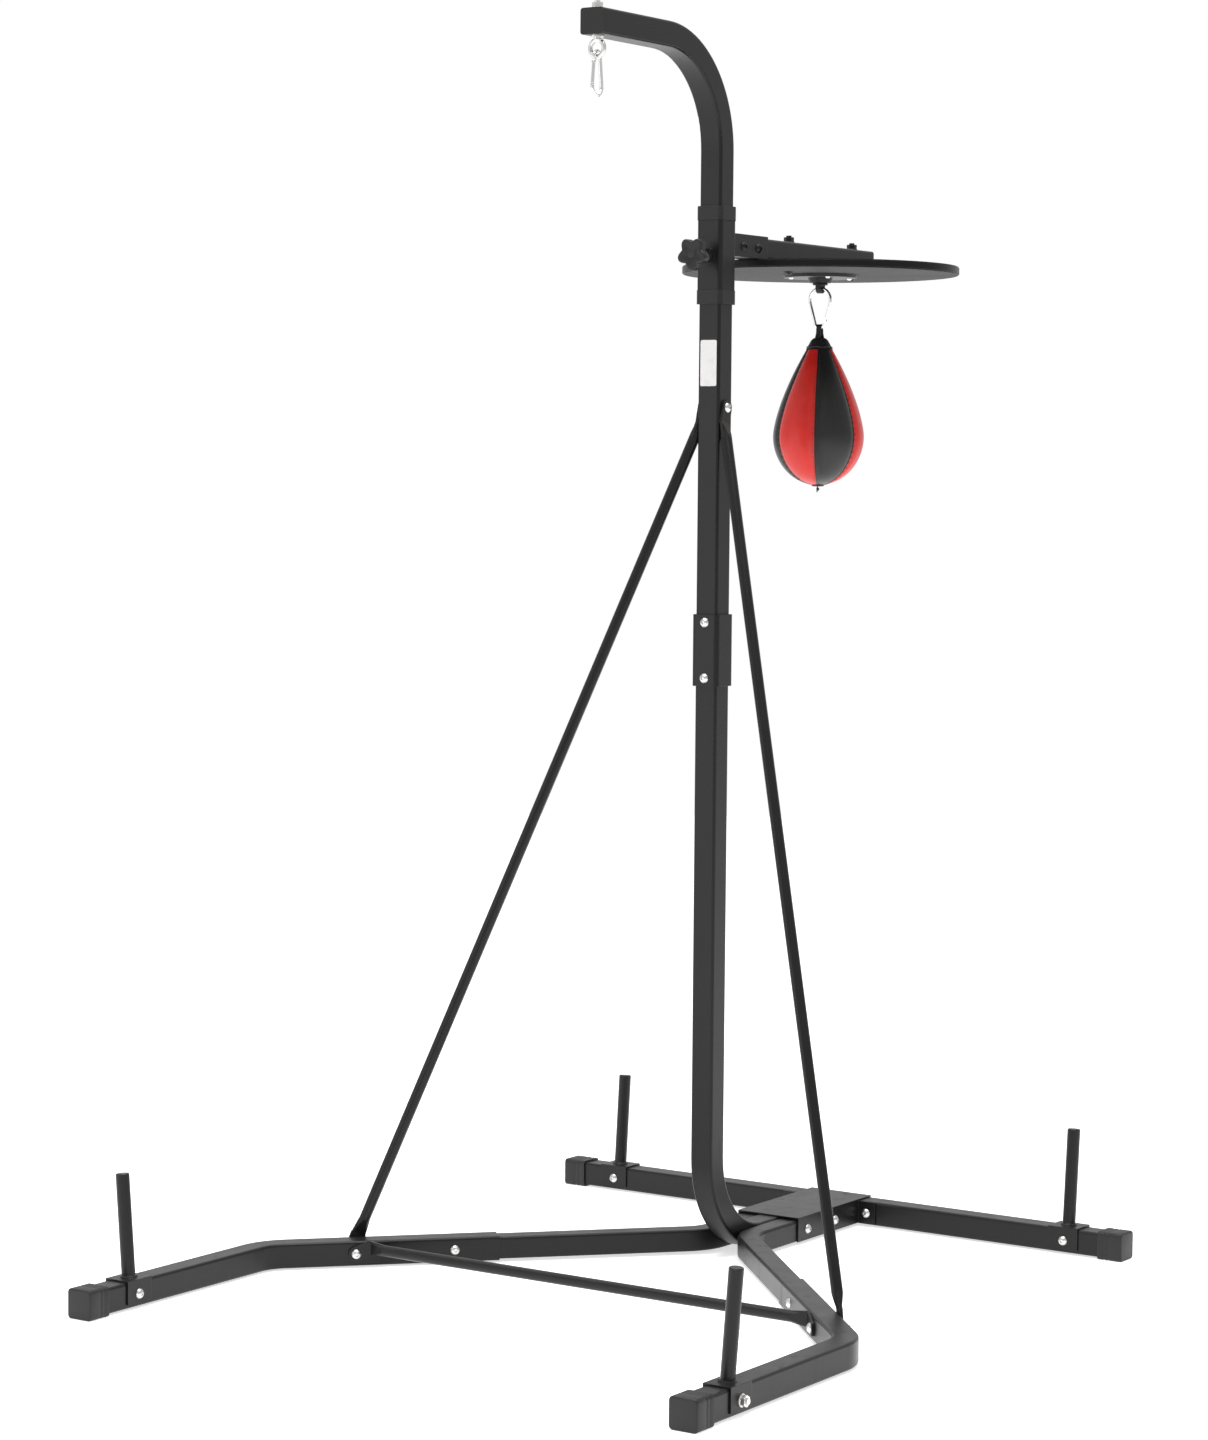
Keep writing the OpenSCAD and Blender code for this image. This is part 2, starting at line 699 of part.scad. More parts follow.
module platform_sleeve() {
    color(steel_grey) stand() difference() {
        union() {
            translate([0, 0, sleeve_low]) linear_extrude(sleeve_high - sleeve_low)
                ring2d(sleeve_w, sleeve_wall, corner_r + 2);
            // channel that holds the arm
            translate([-sleeve_w / 2 - socket_len, 0, 0]) {
                translate([0, -socket_half, arm_high + fit])
                    cube([socket_len, 2 * socket_half, plate_t]);
                for (y = [-socket_half, socket_half - plate_t])
                    translate([0, y, arm_low + weld_gap]) cube([socket_len, plate_t, arm_w + 1]);
            }
            // threaded boss for the clamp screw
            level([sleeve_w / 2, 0, knob_z], 0) cylinder(h = boss_len, d = boss_d);
        }
        level([sleeve_w / 2 - boss_len, 0, knob_z], 0)
            cylinder(h = 3 * boss_len, r = screw_r + screw_gap);
        for (x = socket_bolt_x) drill([x, 0, arm_zc], 90, 2 * arm_w);
    }
}

// Plastic bush: a collar on the sleeve's end with a liner inside it; dir is +1 at the top
module bush(z, dir) {
    stand() translate([0, 0, z]) mirror([0, 0, dir < 0 ? 1 : 0]) {
        linear_extrude(bush_h) difference() {
            rounded(bush_w, bush_w, corner_r + 3);
            rounded(tube + 2 * bush_gap, tube + 2 * bush_gap, corner_r);
        }
        translate([0, 0, -liner_h]) linear_extrude(liner_h + 0.5) difference() {
            rounded(liner_w, liner_w, corner_r);
            rounded(tube + 2 * bush_gap, tube + 2 * bush_gap, corner_r);
        }
    }
}

module bush_top() { color(plastic_black) bush(sleeve_high, 1); }
module bush_bottom() { color(plastic_black) bush(sleeve_low, -1); }

module platform_arm() {
    color(steel_grey) stand() difference() {
        level_tube([arm_tail + plug_t, 0, arm_zc], 0, -sleeve_w / 2 - arm_tail - plug_t - 1, arm_w);
        for (x = socket_bolt_x) drill([x, 0, arm_zc], 90, 2 * arm_w);
        for (s = [-1, 1]) board_bolt_at(s) translate([0, 0, -board_t])
            cylinder(h = 3 * board_t + arm_w, r = bolt_hole_r);
    }
}

module arm_tail_plug() {
    color(plastic_black) stand() {
        level([arm_tail, 0, arm_zc], 0) linear_extrude(plug_t) rounded(arm_w, arm_w, corner_r);
        level([arm_tail + plug_t, 0, arm_zc], 0) linear_extrude(plug_in + 2)
            rounded(arm_w - 2 * (wall + slip), arm_w - 2 * (wall + slip), corner_r - wall);
    }
}

module board_bolt_at(s) {
    translate([-board_back + s * board_bolt_r, 0, board_z]) children();
}

module swivel_screw_at() {
    for (a = [45:90:315])
        translate([-board_back, 0, board_z - swivel_t]) rotate([0, 0, a])
            translate([plate_r - swivel_screw_in, 0, 0]) children();
}

module board() {
    color(board_black) stand() difference() {
        translate([-board_back, 0, board_z]) union() {
            cylinder(h = board_t, d = board_d - 2 * rim_step, $fn = 128);
            translate([0, 0, rim_step])
                cylinder(h = board_t - 2 * rim_step, d = board_d, $fn = 128);
        }
        for (s = [-1, 1]) board_bolt_at(s) translate([0, 0, -1])
            cylinder(h = board_t + 2, r = bolt_hole_r);
        swivel_screw_at() cylinder(h = screw_len + 2, r = swivel_screw_r + fit);
    }
}

module board_bolts() {
    color(zinc) stand() for (s = [-1, 1]) board_bolt_at(s) bolt(board_t + arm_w);
}

module board_nuts() {
    color(zinc) stand() for (s = [-1, 1]) board_bolt_at(s)
        translate([0, 0, board_t + arm_w]) nut();
}

module socket_bolts() {
    color(zinc) stand() for (x = socket_bolt_x)
        level([x, socket_half, arm_zc], -90) bolt(2 * socket_half);
}

module socket_nuts() {
    color(zinc) stand() for (x = socket_bolt_x) level([x, -socket_half, arm_zc], -90) nut();
}

// Round plate with a housing that captures the hub's head
module swivel_plate() {
    color(plastic_black) stand() difference() {
        translate([-board_back, 0, board_z]) union() {
            translate([0, 0, -swivel_t])
                cylinder(h = swivel_t, r1 = plate_r - 2, r2 = plate_r, $fn = 96);
            translate([0, 0, -house_low]) cylinder(h = 10, r1 = house_r, r2 = house_r + 4);
        }
        translate([-board_back, 0, board_z]) {
            translate([0, 0, -house_low - 1]) cylinder(h = 10, r = neck_hub_r + hub_gap);
            translate([0, 0, -cavity_low]) cylinder(h = cavity_low + 1, r = cavity_r);
        }
        swivel_screw_at() translate([0, 0, -1])
            cylinder(h = screw_len, r = swivel_screw_r + fit);
    }
}

module swivel_screws() {
    color(zinc) stand() swivel_screw_at() {
        translate([0, 0, -screw_head_t])
            cylinder(h = screw_head_t, d1 = screw_head_d - 4, d2 = screw_head_d);
        translate([0, 0, -screw_head_t / 6]) cylinder(h = screw_len, r = swivel_screw_r);
    }
}

// Hub that turns in the plate: head, neck, disc and a drilled lug for the hook
module swivel_hub() {
    color(steel_grey) stand() translate([-board_back, 0, board_z]) difference() {
        union() {
            translate([0, 0, -head_low]) cylinder(h = hub_head_t, r = cavity_r - 0.5);
            translate([0, 0, -disc_low + disc_t - 0.6])
                cylinder(h = disc_low - disc_t + 0.6 - head_low + 0.6, r = neck_hub_r);
            translate([0, 0, -disc_low]) cylinder(h = disc_t, r = disc_r);
            translate([-lug_r, -lug_t / 2, -lug_drop]) cube([2 * lug_r, lug_t, lug_drop - disc_low + 1]);
            translate([0, 0, -lug_drop]) rotate([90, 0, 0])
                cylinder(h = lug_t, r = lug_r, center = true);
        }
        translate([0, 0, -lug_drop]) rotate([90, 0, 0])
            cylinder(h = 2 * lug_t, r = speed_wire / 2 + lug_play, center = true);
    }
}

// Star knob: a round core with lobes, moulded over the screw's end
module clamp_grip() {
    color(plastic_black) stand() level([knob_x, 0, knob_z], 0) difference() {
        union() {
            cylinder(h = knob_t, d = knob_d * core_share);
            translate([0, 0, -knob_neck]) cylinder(h = knob_neck + 1, d = knob_neck_d);
            for (a = [0:72:288]) rotate([0, 0, a]) translate([knob_d * (1 - lobe_share) / 2, 0, 0])
                cylinder(h = knob_t, d = knob_d * lobe_share);
        }
        translate([0, 0, -knob_neck - 1]) cylinder(h = knob_neck + 1 + screw_in, r = screw_r);
    }
}

module clamp_screw() {
    color(zinc) stand() level([half + tip_gap, 0, knob_z], 0)
        cylinder(h = knob_x + screw_in - half - tip_gap, r = screw_r);
}

module at_speed() {
    stand() translate([-board_back, 0, strap_z]) rotate([0, 0, 90]) rotate([180, 0, 0]) children();
}
module speed_hook() {
    color(zinc) at_speed() hook_frame(narrow_r, wide_r, speed_len, speed_wire);
}
module speed_gate() {
    color(zinc) at_speed() hook_gate(narrow_r, wide_r, speed_len, speed_wire);
}

// Radius of the bag at a fraction u of its height, from a rounded foot to a slim neck
function bag_radius(u) = u < bag_mid
    ? bag_d / 2 * sqrt(max(0, 1 - pow(1 - u / bag_mid, 2)))
    : neck_r + (bag_d / 2 - neck_r) * (1 - pow((u - bag_mid) / (1 - bag_mid), 1.5));

module speed_bag() {
    steps = 40;
    color(bag_red) stand() translate([-board_back, 0, bag_top - bag_h]) rotate_extrude($fn = 64)
        polygon(concat([[0, 0]],
            [for (i = [1:steps]) let (u = pow(i / steps, 1.5)) [bag_radius(u), u * bag_h]],
            [[0, bag_h]]));
}

// Leather loop over the hook's narrow end
module bag_strap() {
    loop_z = strap_z - narrow_r + speed_wire / 2 + strap_room; // top of the loop over the wire
    color(plastic_black) stand() translate([-board_back, 0, 0]) difference() {
        translate([0, strap_w / 2, 0]) rotate([90, 0, 0]) linear_extrude(strap_w) polygon([
            [-strap_foot, bag_top], [strap_foot, bag_top], [strap_w, bag_top + strap_rise],
            [strap_w - 1, loop_z - strap_t], [strap_hole, loop_z], [-strap_hole, loop_z],
            [1 - strap_w, loop_z - strap_t], [-strap_w, bag_top + strap_rise]]);
        translate([-strap_hole, -strap_w, bag_top + strap_rise + strap_t])
            cube([2 * strap_hole, 2 * strap_w, loop_z - 2 * strap_t - bag_top - strap_rise]);
    }
}

lower_post();
upper_post();
post_coupler();
coupler_bolts();
coupler_nuts();
arm_end_plug();
leg_rear_left();
leg_rear_right();
leg_front_left();
leg_front_right();
leg_joint_bolts();
brace_foot_bolts();
leg_nuts();
rear_bar();
hub_bracket();
hub_bolts();
hub_nuts();
bar_bolts();
bar_nuts();
side_brace_left();
side_brace_right();
brace_top_bolt();
brace_top_nut();
cross_brace();
plate_peg_front_left();
plate_peg_front_right();
plate_peg_rear_left();
plate_peg_rear_right();
peg_bolts();
peg_nuts();
front_cap_left();
front_cap_right();
rear_cap_left();
rear_cap_right();
blank_label();
hang_eye();
hang_nut();
heavy_hook();
heavy_gate();
platform_sleeve();
bush_top();
bush_bottom();
platform_arm();
arm_tail_plug();
board();
board_bolts();
board_nuts();
socket_bolts();
socket_nuts();
swivel_plate();
swivel_screws();
swivel_hub();
clamp_grip();
clamp_screw();
speed_hook();
speed_gate();
speed_bag();
bag_strap();
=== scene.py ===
"""Boxing stand with an arm for a heavy bag and a sliding board for a speed bag.

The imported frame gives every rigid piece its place. This script dresses those pieces in their
finishes, and builds the soft and moulded pieces that stand for the plain ones: the panelled
speed bag, its collar and hanging loop, the star knob, the tube caps, the label and the welds.
"""

from __future__ import annotations

import json
import logging
import math
from collections.abc import Mapping, Sequence
from dataclasses import dataclass, field
from enum import Enum
from functools import cache
from typing import Any, ClassVar

import bmesh
import bpy
from mathutils import Matrix, Vector


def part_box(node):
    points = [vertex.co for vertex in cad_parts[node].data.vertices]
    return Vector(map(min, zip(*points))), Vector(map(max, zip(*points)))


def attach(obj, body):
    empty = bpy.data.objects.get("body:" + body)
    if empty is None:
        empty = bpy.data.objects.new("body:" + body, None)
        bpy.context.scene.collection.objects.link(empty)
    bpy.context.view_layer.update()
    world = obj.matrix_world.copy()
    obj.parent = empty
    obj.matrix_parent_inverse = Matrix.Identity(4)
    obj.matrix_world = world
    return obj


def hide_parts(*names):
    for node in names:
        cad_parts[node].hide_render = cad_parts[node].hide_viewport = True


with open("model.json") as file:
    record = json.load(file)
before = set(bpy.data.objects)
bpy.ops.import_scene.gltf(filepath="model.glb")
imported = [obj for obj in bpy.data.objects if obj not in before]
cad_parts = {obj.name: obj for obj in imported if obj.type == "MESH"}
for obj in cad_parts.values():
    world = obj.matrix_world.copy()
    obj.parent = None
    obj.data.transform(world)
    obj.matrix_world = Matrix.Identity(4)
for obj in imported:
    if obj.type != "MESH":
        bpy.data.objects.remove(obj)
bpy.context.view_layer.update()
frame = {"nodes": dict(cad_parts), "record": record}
MM = 0.001
NEAR = 1e-6
log = logging.getLogger("boxing_stand")

Colour = tuple[float, float, float, float]
Stops = Sequence[tuple[float, float]]
BMesh, BMVert, BMEdge, BMFace = (bmesh.types.BMesh, bmesh.types.BMVert, bmesh.types.BMEdge,
                                 bmesh.types.BMFace)
Material, Object = bpy.types.Material, bpy.types.Object
TO_X = Matrix.Rotation(math.pi / 2, 4, "Y")


def grey(value: float, warmth: float = 0.0) -> Colour:
    """A neutral colour, turned a little towards warm or cool.

    Args:
        value: Brightness in linear light.
        warmth: Share added to red and taken from blue.

    Returns:
        The colour with full alpha.
    """
    return (value * (1 + warmth), value, value * (1 - warmth), 1.0)


# ---- shader building


class Wire:
    """One value in a shader: sums on wires add the Math nodes that work them out."""

    def __init__(self, recipe: Recipe, socket: bpy.types.NodeSocket | None) -> None:
        """Keeps the tree that the socket belongs to.

        Args:
            recipe: The tree that new nodes are added to.
            socket: The output socket that carries the value.
        """
        self.recipe = recipe
        self.socket = socket

    def _maths(self, operation: str, first: Any, second: Any) -> Wire:
        """Result of one Math node.

        Args:
            operation: What the node does.
            first: Wire or number.
            second: Wire or number.
        """
        settings = {"operation": operation}
        return self.recipe.node("ShaderNodeMath", settings, {0: first, 1: second})

    def __add__(self, other: Wire | float) -> Wire:
        """Sum of two values."""
        return self._maths("ADD", self, other)

    def __radd__(self, other: float) -> Wire:
        """Sum, number first."""
        return self._maths("ADD", other, self)

    def __sub__(self, other: Wire | float) -> Wire:
        """Difference of two values."""
        return self._maths("SUBTRACT", self, other)

    def __rsub__(self, other: float) -> Wire:
        """Difference, number first."""
        return self._maths("SUBTRACT", other, self)

    def __mul__(self, other: Wire | float) -> Wire:
        """Product of two values."""
        return self._maths("MULTIPLY", self, other)

    def __rmul__(self, other: float) -> Wire:
        """Product, number first."""
        return self._maths("MULTIPLY", other, self)

    def __abs__(self) -> Wire:
        """Value without its sign."""
        return self._maths("ABSOLUTE", self, 0.0)


class Recipe:
    """The node tree of one finish, or of the surround."""

    def __init__(self, owner: Material | bpy.types.World) -> None:
        """Starts an empty tree.

        Args:
            owner: The new material or world that the tree belongs to.
        """
        self.owner = owner
        self.owner.use_nodes = True
        self.tree = self.owner.node_tree
        self.tree.nodes.clear()

    def node(
        self,
        kind: str,
        settings: Mapping[str, Any] | None = None,
        inputs: Mapping[Any, Any] | None = None,
        output: int | str = 0,
    ) -> Wire:
        """Adds a node, sets it up, then fills or links its sockets.

        Args:
            kind: Type of the node.
            settings: Properties, set before the sockets; "stops" fills a colour ramp.
            inputs: Number, colour or Wire for each socket, by name or place.
            output: The socket that the result is read from.

        Returns:
            The chosen output.
        """
        made = self.tree.nodes.new(kind)
        for key, value in (settings or {}).items():
            if key == "stops":
                self._fill_ramp(made.color_ramp, value)
            else:
                setattr(made, key, value)
        for key, value in (inputs or {}).items():
            socket = made.inputs[key]
            if isinstance(value, Wire):
                self.tree.links.new(value.socket, socket)
            else:
                socket.default_value = value
        return Wire(self, made.outputs[output] if made.outputs else None)

    @staticmethod
    def _fill_ramp(ramp: bpy.types.ColorRamp, stops: Stops) -> None:
        """Gives a ramp its grey stops.

        Args:
            ramp: The ramp to fill.
            stops: Place and brightness of each stop, in order.
        """
        while len(ramp.elements) < len(stops):
            ramp.elements.new(1.0)
        for element, (place, level) in zip(ramp.elements, stops):
            element.position = place
            element.color = (level, level, level, 1.0)

    def place(self) -> Wire:
        """Object coordinates, in metres, which are the frame's own."""
        return self.node("ShaderNodeTexCoord", output="Object")

    def stretched(self, scale: Sequence[float]) -> Wire:
        """Object coordinates stretched for a directional pattern."""
        return self.node("ShaderNodeMapping", None, {"Vector": self.place(), "Scale": scale})

    def noise(self, scale: float, detail: float = 3.0, at: Wire | None = None) -> Wire:
        """Cloudy noise from 0 to 1.

        Args:
            scale: Cells to the metre.
            detail: Octaves of finer noise.
            at: Coordinates, or the piece's own.
        """
        inputs = {"Vector": at or self.place(), "Scale": scale, "Detail": detail}
        return self.node("ShaderNodeTexNoise", None, inputs, "Fac")

    def cells(self, scale: float, feature: str = "F1") -> Wire:
        """Cell pattern; its distance makes pebbles or creases."""
        inputs = {"Vector": self.place(), "Scale": scale}
        return self.node("ShaderNodeTexVoronoi", {"feature": feature}, inputs, "Distance")

    def ramp(self, value: Wire, stops: Stops) -> Wire:
        """Remaps a value through a few stops."""
        return self.node("ShaderNodeValToRGB", {"stops": stops}, {"Fac": value})

    def between(self, value: Wire, low: float, high: float) -> Wire:
        """Rises from 0 to 1 as a value goes from low to high."""
        return self.ramp(value, ((low, 0.0), (high, 1.0)))

    def facing(self, first: Wire, second: Any) -> Wire:
        """Dot product of two vectors."""
        settings = {"operation": "DOT_PRODUCT"}
        return self.node("ShaderNodeVectorMath", settings, {0: first, 1: second}, "Value")

    def upward(self) -> Wire:
        """How far the surface faces up, from -1 to 1."""
        normal = self.node("ShaderNodeNewGeometry", output="Normal")
        return self.node("ShaderNodeSeparateXYZ", None, {0: normal}, "Z")

    def blend(self, factor: Wire, low: Any, high: Any) -> Wire:
        """Two colours mixed by a value.

        Args:
            factor: 0 gives low, 1 gives high.
            low: Colour or Wire.
            high: Colour or Wire.
        """
        settings = {"data_type": "RGBA", "clamp_factor": True}
        return self.node("ShaderNodeMix", settings, {0: factor, 6: low, 7: high}, 2)

    def rounded(self, radius: float) -> tuple[Wire, Wire]:
        """Normals with the sharp edges eased, and where those edges are.

        Args:
            radius: Radius of the easing, in metres.

        Returns:
            The eased normal, and a mask that is 1 on edges.
        """
        eased = self.node("ShaderNodeBevel", {"samples": 4}, {"Radius": radius}, "Normal")
        plain = self.node("ShaderNodeNewGeometry", output="Normal")
        return eased, self.between(1 - self.facing(eased, plain), 0.015, 0.16)

    def bump(self, height: Wire, depth: float, base: Wire | None = None) -> Wire:
        """Normal of the surface raised by a height.

        Args:
            height: 0 to 1.
            depth: Metres between 0 and 1.
            base: Normal to start from.
        """
        inputs: dict[Any, Any] = {"Height": height, "Distance": depth, "Strength": 1.0}
        if base is not None:
            inputs["Normal"] = base
        return self.node("ShaderNodeBump", None, inputs)

    def finish(self, inputs: Mapping[str, Any]) -> Material:
        """Closes the tree with the surface shader.

        Args:
            inputs: Sockets of the Principled shader.

        Returns:
            The material.
        """
        shader = self.node("ShaderNodeBsdfPrincipled", None, inputs)
        self.node("ShaderNodeOutputMaterial", None, {"Surface": shader})
        return self.owner


# ---- finishes


@dataclass(frozen=True)
class PowderCoat:
    """Satin powder coat: orange-peel texture, faint mottling, rubbed edges, and a little dust with
    painted top light on the upward faces.
    """

    name: str = "powder_coat"
    base: float = 0.0075
    rubbed: float = 0.045
    # grey for the upward faces: dust, and painted light from above
    dust: float = 0.030
    roughness: float = 0.33
    shine: float = 0.27
    peel_scale: float = 620.0
    peel_depth: float = 0.00006

    def make(self) -> Material:
        """Builds the coat."""
        recipe = Recipe(bpy.data.materials.new(self.name))
        eased, edges = recipe.rounded(1.3 * MM)
        clouds = recipe.noise(9.0, 4.0)
        body = recipe.blend(clouds, grey(self.base * 0.84), grey(self.base * 1.16, 0.02))
        # upward faces lightened: patchy dust, and painted top light that reaches every upward face
        dust_and_top_light_mask = recipe.between(recipe.upward(), 0.35, 0.95) * recipe.ramp(
            recipe.noise(34.0, 5.0), ((0.30, 0.35), (0.75, 1.0)))
        with_dust_and_top_light = recipe.blend(dust_and_top_light_mask * 0.55, body, grey(self.dust, 0.02))
        chipped = edges * recipe.between(recipe.noise(75.0, 5.0), 0.42, 0.70)
        colour = recipe.blend(chipped, with_dust_and_top_light, grey(self.rubbed, 0.01))
        peel = recipe.noise(self.peel_scale, 2.0) + 0.35 * recipe.noise(self.peel_scale * 3.1, 1.0)
        drawn = recipe.noise(46.0, 6.0, recipe.stretched((1.0, 1.0, 0.16)))
        scuff = recipe.between(drawn, 0.60, 0.78)
        rough = self.roughness + 0.10 * (clouds - 0.5) + 0.12 * scuff + 0.10 * dust_and_top_light_mask
        return recipe.finish({
            "Base Color": colour,
            "Roughness": rough,
            "Specular IOR Level": self.shine,
            "Normal": recipe.bump(peel, self.peel_depth, eased),
        })


@dataclass(frozen=True)
class PlatedSteel:
    """Plated steel: zinc is cloudy with a faint warm cast, nickel is clean and bright."""

    name: str
    bright: Colour
    cast: Colour
    roughness: float
    clouding: float
    depth: float = 0.00002

    def make(self) -> Material:
        """Builds the plating."""
        recipe = Recipe(bpy.data.materials.new(self.name))
        eased, edges = recipe.rounded(0.5 * MM)
        clouds = recipe.noise(140.0, 5.0)
        spangle = recipe.cells(480.0)
        tone = recipe.blend(recipe.between(clouds, 0.35, 0.70), self.bright, self.cast)
        scratches = recipe.noise(210.0, 6.0, recipe.stretched((1.0, 7.0, 1.0)))
        height = 0.6 * scratches + 0.4 * spangle
        rough = self.roughness + self.clouding * (clouds - 0.4) + 0.08 * scratches - 0.05 * edges
        return recipe.finish({
            "Base Color": tone,
            "Metallic": 1.0,
            "Roughness": rough,
            "Normal": recipe.bump(height, self.depth, eased),
        })


@dataclass(frozen=True)
class MouldedPlastic:
    """Black moulded plastic with a fine spark-eroded grain and pale scuffs on its edges."""

    name: str = "black_plastic"
    base: float = 0.008
    scuffed: float = 0.050
    roughness: float = 0.46
    shine: float = 0.36
    grain_depth: float = 0.00008

    def make(self) -> Material:
        """Builds the plastic."""
        recipe = Recipe(bpy.data.materials.new(self.name))
        eased, edges = recipe.rounded(1.0 * MM)
        grain = recipe.noise(1700.0, 2.0)
        clouds = recipe.noise(30.0, 4.0)
        worn = edges * recipe.between(recipe.noise(120.0, 6.0), 0.45, 0.75)
        body = recipe.blend(clouds, grey(self.base * 0.8), grey(self.base * 1.4, 0.02))
        return recipe.finish({
            "Base Color": recipe.blend(worn * 0.7, body, grey(self.scuffed)),
            "Roughness": self.roughness + 0.14 * (clouds - 0.5) + 0.10 * grain - 0.05,
            "Specular IOR Level": self.shine,
            "Normal": recipe.bump(grain, self.grain_depth, eased),
        })


@dataclass(frozen=True)
class LabelFilm:
    """Blank white vinyl label with a soft sheen and faint handling marks."""

    name: str = "label"
    fibre_depth: float = 0.00003

    def make(self) -> Material:
        """Builds the film."""
        recipe = Recipe(bpy.data.materials.new(self.name))
        marks = recipe.between(recipe.noise(60.0, 6.0), 0.50, 0.85)
        fibre = recipe.noise(900.0, 3.0)
        return recipe.finish({
            "Base Color": recipe.blend(marks * 0.6, grey(0.62, 0.01), grey(0.50, 0.03)),
            "Roughness": 0.36 + 0.2 * marks + 0.06 * fibre,
            "Normal": recipe.bump(fibre, self.fibre_depth),
        })


@dataclass(frozen=True)
class BoardLaminate:
    """Rebound board: pebbled laminate on both faces and a black lacquered rim; the faces are
    painted grey, which stands in for light bounced up from the floor.
    """

    name: str = "board_laminate"
    # painted light: grey of the faces, standing in for light bounced up from the floor
    face: float = 0.030
    rim: float = 0.006
    pebble_depth: float = 0.00016

    def make(self) -> Material:
        """Builds the laminate."""
        recipe = Recipe(bpy.data.materials.new(self.name))
        eased, edges = recipe.rounded(1.2 * MM)
        flat = recipe.between(abs(recipe.upward()), 0.80, 0.96)
        pebble = recipe.cells(420.0)
        grain = recipe.noise(38.0, 7.0, recipe.stretched((0.35, 5.0, 5.0)))
        clouds = recipe.noise(7.0, 4.0)
        # faces take the grey of painted floor-bounce light, the rim keeps its own black
        tone = recipe.blend(0.5 * grain + 0.5 * clouds, grey(self.face * 0.80),
                            grey(self.face * 1.22, 0.01))
        colour = recipe.blend(flat, grey(self.rim), tone)
        return recipe.finish({
            "Base Color": recipe.blend(edges * grain * 0.6, colour, grey(0.13, 0.05)),
            "Roughness": 0.40 + 0.22 * flat + 0.16 * (clouds - 0.5),
            "Specular IOR Level": 0.14,
            "Normal": recipe.bump(pebble * flat + 0.25 * grain, self.pebble_depth, eased),
        })


@dataclass(frozen=True)
class SyntheticLeather:
    """Glossy grained leather: pebbles between fine creases, with painted shade darkening the
    creases.
    """

    name: str
    deep: Colour
    lit: Colour
    roughness: float = 0.34
    coat: float = 0.12
    pebble_scale: float = 1050.0
    crease_depth: float = 0.00012

    def make(self) -> Material:
        """Builds the leather."""
        recipe = Recipe(bpy.data.materials.new(self.name))
        pebble = recipe.cells(self.pebble_scale)
        cracks = recipe.cells(self.pebble_scale * 0.45, "DISTANCE_TO_EDGE")
        crease = recipe.between(cracks, 0.0, 0.12)
        clouds = recipe.noise(24.0, 5.0)
        fine = recipe.noise(2100.0, 2.0)
        tone = recipe.blend(recipe.between(clouds, 0.25, 0.80), self.deep, self.lit)
        height = 0.55 * (1 - pebble) * crease + 0.30 * crease + 0.15 * fine
        # painted shade: the creases take the deep colour
        shaded = recipe.blend(crease, self.deep, tone)
        return recipe.finish({
            "Base Color": shaded,
            "Roughness": self.roughness + 0.14 * (clouds - 0.5) + 0.12 * (1 - crease),
            "Specular IOR Level": 0.36,
            "Coat Weight": self.coat,
            "Coat Roughness": 0.28,
            "Normal": recipe.bump(height, self.crease_depth),
        })


@dataclass(frozen=True)
class Thread:
    """Twisted polyester thread or cord."""

    name: str
    colour: Colour
    twist: float = 900.0
    strand_depth: float = 0.00012

    def make(self) -> Material:
        """Builds the thread."""
        recipe = Recipe(bpy.data.materials.new(self.name))
        strands = recipe.noise(self.twist, 3.0, recipe.stretched((1.0, 1.0, 2.4)))
        dark = tuple(c * 0.55 for c in self.colour[:3]) + (1.0,)
        return recipe.finish({
            "Base Color": recipe.blend(strands, dark, self.colour),
            "Roughness": 0.55 + 0.2 * strands,
            "Sheen Weight": 0.25,
            "Normal": recipe.bump(strands, self.strand_depth),
        })


@dataclass(frozen=True)
class StudioFloor:
    """Pale matt floor paint."""

    name: str = "studio_floor"
    glow: float = 0.64

    def make(self) -> Material:
        """Builds the floor paint."""
        recipe = Recipe(bpy.data.materials.new(self.name))
        trodden = recipe.blend(recipe.noise(1.5, 4.0), grey(0.86), grey(0.90))
        return recipe.finish({"Base Color": trodden, "Roughness": 0.9, "Specular IOR Level": 0.1,
                              "Emission Color": grey(1.0), "Emission Strength": self.glow})


class Finish(Enum):
    """Every finish on the stand; the frame's slots go by these names."""

    POWDER_COAT = PowderCoat()
    # swivel paint: its upward faces also take dust and painted top light
    SWIVEL_PAINT = PowderCoat(name="swivel_paint", base=0.005, rubbed=0.04, dust=0.01,
                              roughness=0.36, peel_depth=0.00004)
    ZINC = PlatedSteel("zinc_plate", grey(0.72, -0.01), grey(0.60, 0.05), 0.27, 0.22)
    HOOK_STEEL = PlatedSteel("nickel_plate", grey(0.86, -0.01), grey(0.78, 0.02), 0.10, 0.10)
    BLACK_PLASTIC = MouldedPlastic()
    CAP_PLASTIC = MouldedPlastic(name="cap_plastic", base=0.013, scuffed=0.06, roughness=0.50)
    LABEL = LabelFilm()
    BOARD_LACQUER = BoardLaminate()
    BAG_LEATHER = SyntheticLeather("red_leather", (0.50, 0.008, 0.006, 1.0),
                                   (0.70, 0.026, 0.014, 1.0))
    BLACK_LEATHER = SyntheticLeather("black_leather", grey(0.006), grey(0.012, 0.01))
    STRAP_LEATHER = SyntheticLeather("strap_leather", grey(0.004), grey(0.010, 0.02), 0.48, 0.03,
                                     1400.0)
    BLACK_THREAD = Thread("black_thread", grey(0.012))
    GREY_THREAD = Thread("grey_thread", grey(0.10, 0.01))
    FLOOR = StudioFloor()

    @cache
    def material(self) -> Material:
        """The finish's material, made once."""
        return self.value.make()


# ---- making pieces


